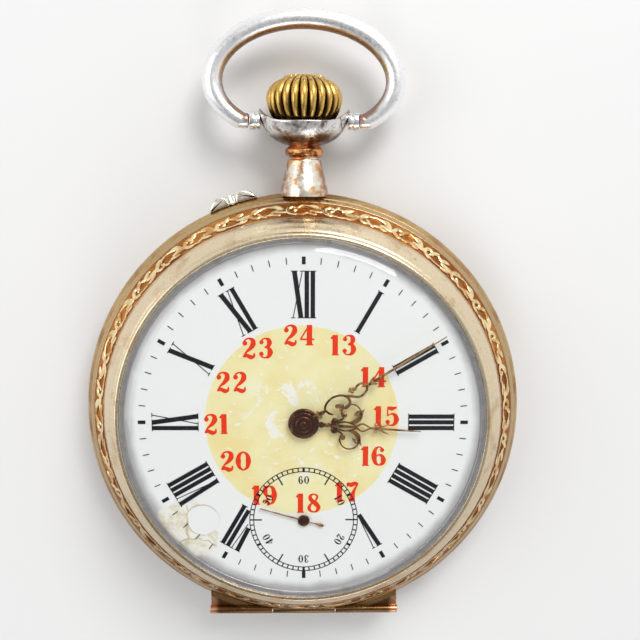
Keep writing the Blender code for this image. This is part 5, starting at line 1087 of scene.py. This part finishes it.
def build_hands():
    low = HOUR_HAND_Z
    lines = strokes("150 0 310 0 | 50 30; 300 0 500 0 590 0 | 34 24 20")
    dots = strokes(HOUR_DOTS)
    for side in (-1, 1):
        turns = np.radians(np.linspace(215, -25, 13))
        loop = [(5.22 + 1.08 * math.cos(a), (1.48 + 1.08 * math.sin(a)) * side) for a in turns]
        lines.append(([(3.3, 0.35 * side), *loop], [0.2, 0.15, 0.13, 0.14, 0.15, 0.18, 0.2]))
        lines += mirrored(HOUR_SIDE, side)
        dots += mirrored(HOUR_SIDE_DOTS, side)
    lines.append(([(7.4, 0), (8.6, 0), (HOUR_HAND_LENGTH, 0)], [0.22, 0.28, 0.09]))
    ring = boss_ring(low, [(1.17, 0), (1.66, 0), (1.74, 0.1), (1.56, 0.24), (1.17, 0.24)])
    hand_piece("shown_hour_hand", low, lines, dots, [(ring, 0.05)], (0, 0), HOUR_HAND_AT, "hour", 1.1)

    low = MINUTE_HAND_Z
    rings = [
        (boss_ring(low, [(0.8, 0), (1.3, 0), (1.4, 0.08), (1.3, 0.2), (1.1, 0.2), (0.8, 0.2)]), 0.04),
        (boss_ring(low, [(0.05, 0.17), (0.94, 0.17), (0.94, 0.26), (0.78, 0.34), (0.05, 0.34)]), 0.05),
        (boss_ring(low, [(0.02, 0.3), (0.4, 0.3), (0.4, 0.42), (0.28, 0.5), (0.02, 0.5)]), 0.04),
    ]
    lines, dots = strokes(MINUTE_STROKES), strokes(MINUTE_DOTS)
    hand_piece("shown_minute_hand", low, lines, dots, rings, (0, 0), MINUTE_HAND_AT, "minute", 1.4)

    low = SECOND_HAND_Z
    ring = boss_ring(low, [(0.02, 0), (0.66, 0), (0.68, 0.07), (0.5, 0.15), (0.2, 0.18), (0.02, 0.18)])
    lines = strokes("40 0 520 0 | 20 10; -40 0 -140 0 -195 0 -235 0 | 12 14 42 20")
    hand_piece("shown_second_hand", low, lines, [], [(ring, 0.03)], SECONDS, SECOND_HAND_AT, "fourth_arbor", thick=0.12)


# ---------------------------------------------------------------- everything else


def dress_nodes():
    """Gives each piece of the solids that shows its own look; what isn't named here is steel."""
    train, barrel = ("train_bridge_screw_1 train_bridge_screw_2",
                     "barrel_bridge_screw_1 barrel_bridge_screw_2 barrel_bridge_screw_3")
    looks = [
        (brass.material, "mainplate barrel_bridge train_bridge balance_cock pallet_bridge"),
        (wheel_brass.material, "barrel barrel_cover centre_wheel third_wheel fourth_wheel escape_wheel "
                               "hour_wheel minute_wheel balance crown_wheel_core"),
        (blued.material, f"hairspring mainspring click_screw cock_screw ratchet_screw {train} {barrel}"),
        (RUBY, "balance_jewel"),
        (bow_silver.material, "setting_pin bezel_hinge_pin back_hinge_pin cuvette_hinge_pin"),
    ]
    named = {name: look for look, names in looks for name in names.split()}
    for name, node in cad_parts.items():
        if name != "dial" and (name in named or not node.hide_render):
            node.data.materials.clear()
            node.data.materials.append(named.get(name, steel.material))


FLOOR_HALF, FLOOR_Z = 0.26, -0.00003
LAMPS = [("key", (0.14, 0.34, 0.34), 0.22, 1.5), ("fill", (-0.30, 0.05, 0.30), 0.3, 0.55),
         ("rim", (0.05, -0.34, 0.22), 0.2, 0.35)]


def build_studio():
    """A pale world, brighter where it is seen or mirrored, a pale floor and three soft lamps."""
    world = bpy.data.worlds.new("studio")
    bpy.context.scene.world = world
    world.use_nodes = True
    sky = Nodes(world.node_tree, "Generated")
    x, y, z = sky.axes()
    soft = sky.maths("MULTIPLY_ADD", y, 0.8, x).step(-1.1, 1.1, 0.12, 0.75)
    overhead = z.step(0.25, 0.8, 0.9, soft)
    rays = sky.out("ShaderNodeLightPath").socket.node.outputs
    seen = Signal(sky, rays["Is Camera Ray"])
    for ray in ("Is Glossy Ray", "Is Transmission Ray"):
        seen = sky.maths("MAXIMUM", seen, Signal(sky, rays[ray]))
    shades = [sky.out("ShaderNodeBackground", 0, {"Color": WHITE, "Strength": level}) for level in (soft, overhead)]
    sky.finish("World Output", seen, *shades)

    half = FLOOR_HALF
    corners = [(-half, -half, 0), (half, -half, 0), (half, half, 0), (-half, half, 0)]
    mesh = bpy.data.meshes.new("floor")
    mesh.from_pydata(corners, [], [(0, 1, 2, 3)])
    mesh.materials.append(Look("pale_floor", (0.8, 0.8, 0.8), 0.6, 0.0).material)
    floor = placed("floor", mesh)
    floor.location.z = FLOOR_Z

    for name, at, size, power in LAMPS:
        light = bpy.data.lights.new(name, "AREA")
        light.size, light.energy = size, power
        lamp = placed(name, light)
        lamp.location = at
        lamp.rotation_euler = (Vector((0, 0, 0.005)) - Vector(at)).to_track_quat("-Z", "Y").to_euler()


FOCAL_PX, CENTRE_PX, WIDTH_PX, SENSOR = 946.0, (341.2, 370.6), 640.0, 36
CAMERA_TURN, CAMERA_AT = (10.41, 1.83, -0.10), (0.8, 24.8, 103.0 + DIAL_TOP_Z)


def build_camera():
    """The photograph's place and angle, worked out from the dial's marks."""
    turn = Euler([math.radians(a) for a in CAMERA_TURN]).to_matrix()
    camera = bpy.data.cameras.new("camera")
    camera.sensor_width = SENSOR
    camera.lens = FOCAL_PX * SENSOR / WIDTH_PX
    camera.shift_x = (WIDTH_PX / 2 - CENTRE_PX[0]) / WIDTH_PX
    camera.shift_y = (CENTRE_PX[1] - WIDTH_PX / 2) / WIDTH_PX
    camera.clip_start = 0.001
    eye = placed("camera", camera)
    place = turn.transposed().to_4x4()
    place.translation = Vector(CAMERA_AT) * MM
    eye.matrix_world = place
    bpy.context.scene.camera = eye
    bpy.context.scene.view_settings.view_transform = "Standard"


build_shells()
build_band()
build_crystal()
build_pendant()
build_bow()
build_crown()
build_pin_guard()
build_dial()
build_hands()
dress_nodes()
build_studio()
build_camera()

bpy.context.view_layer.update()
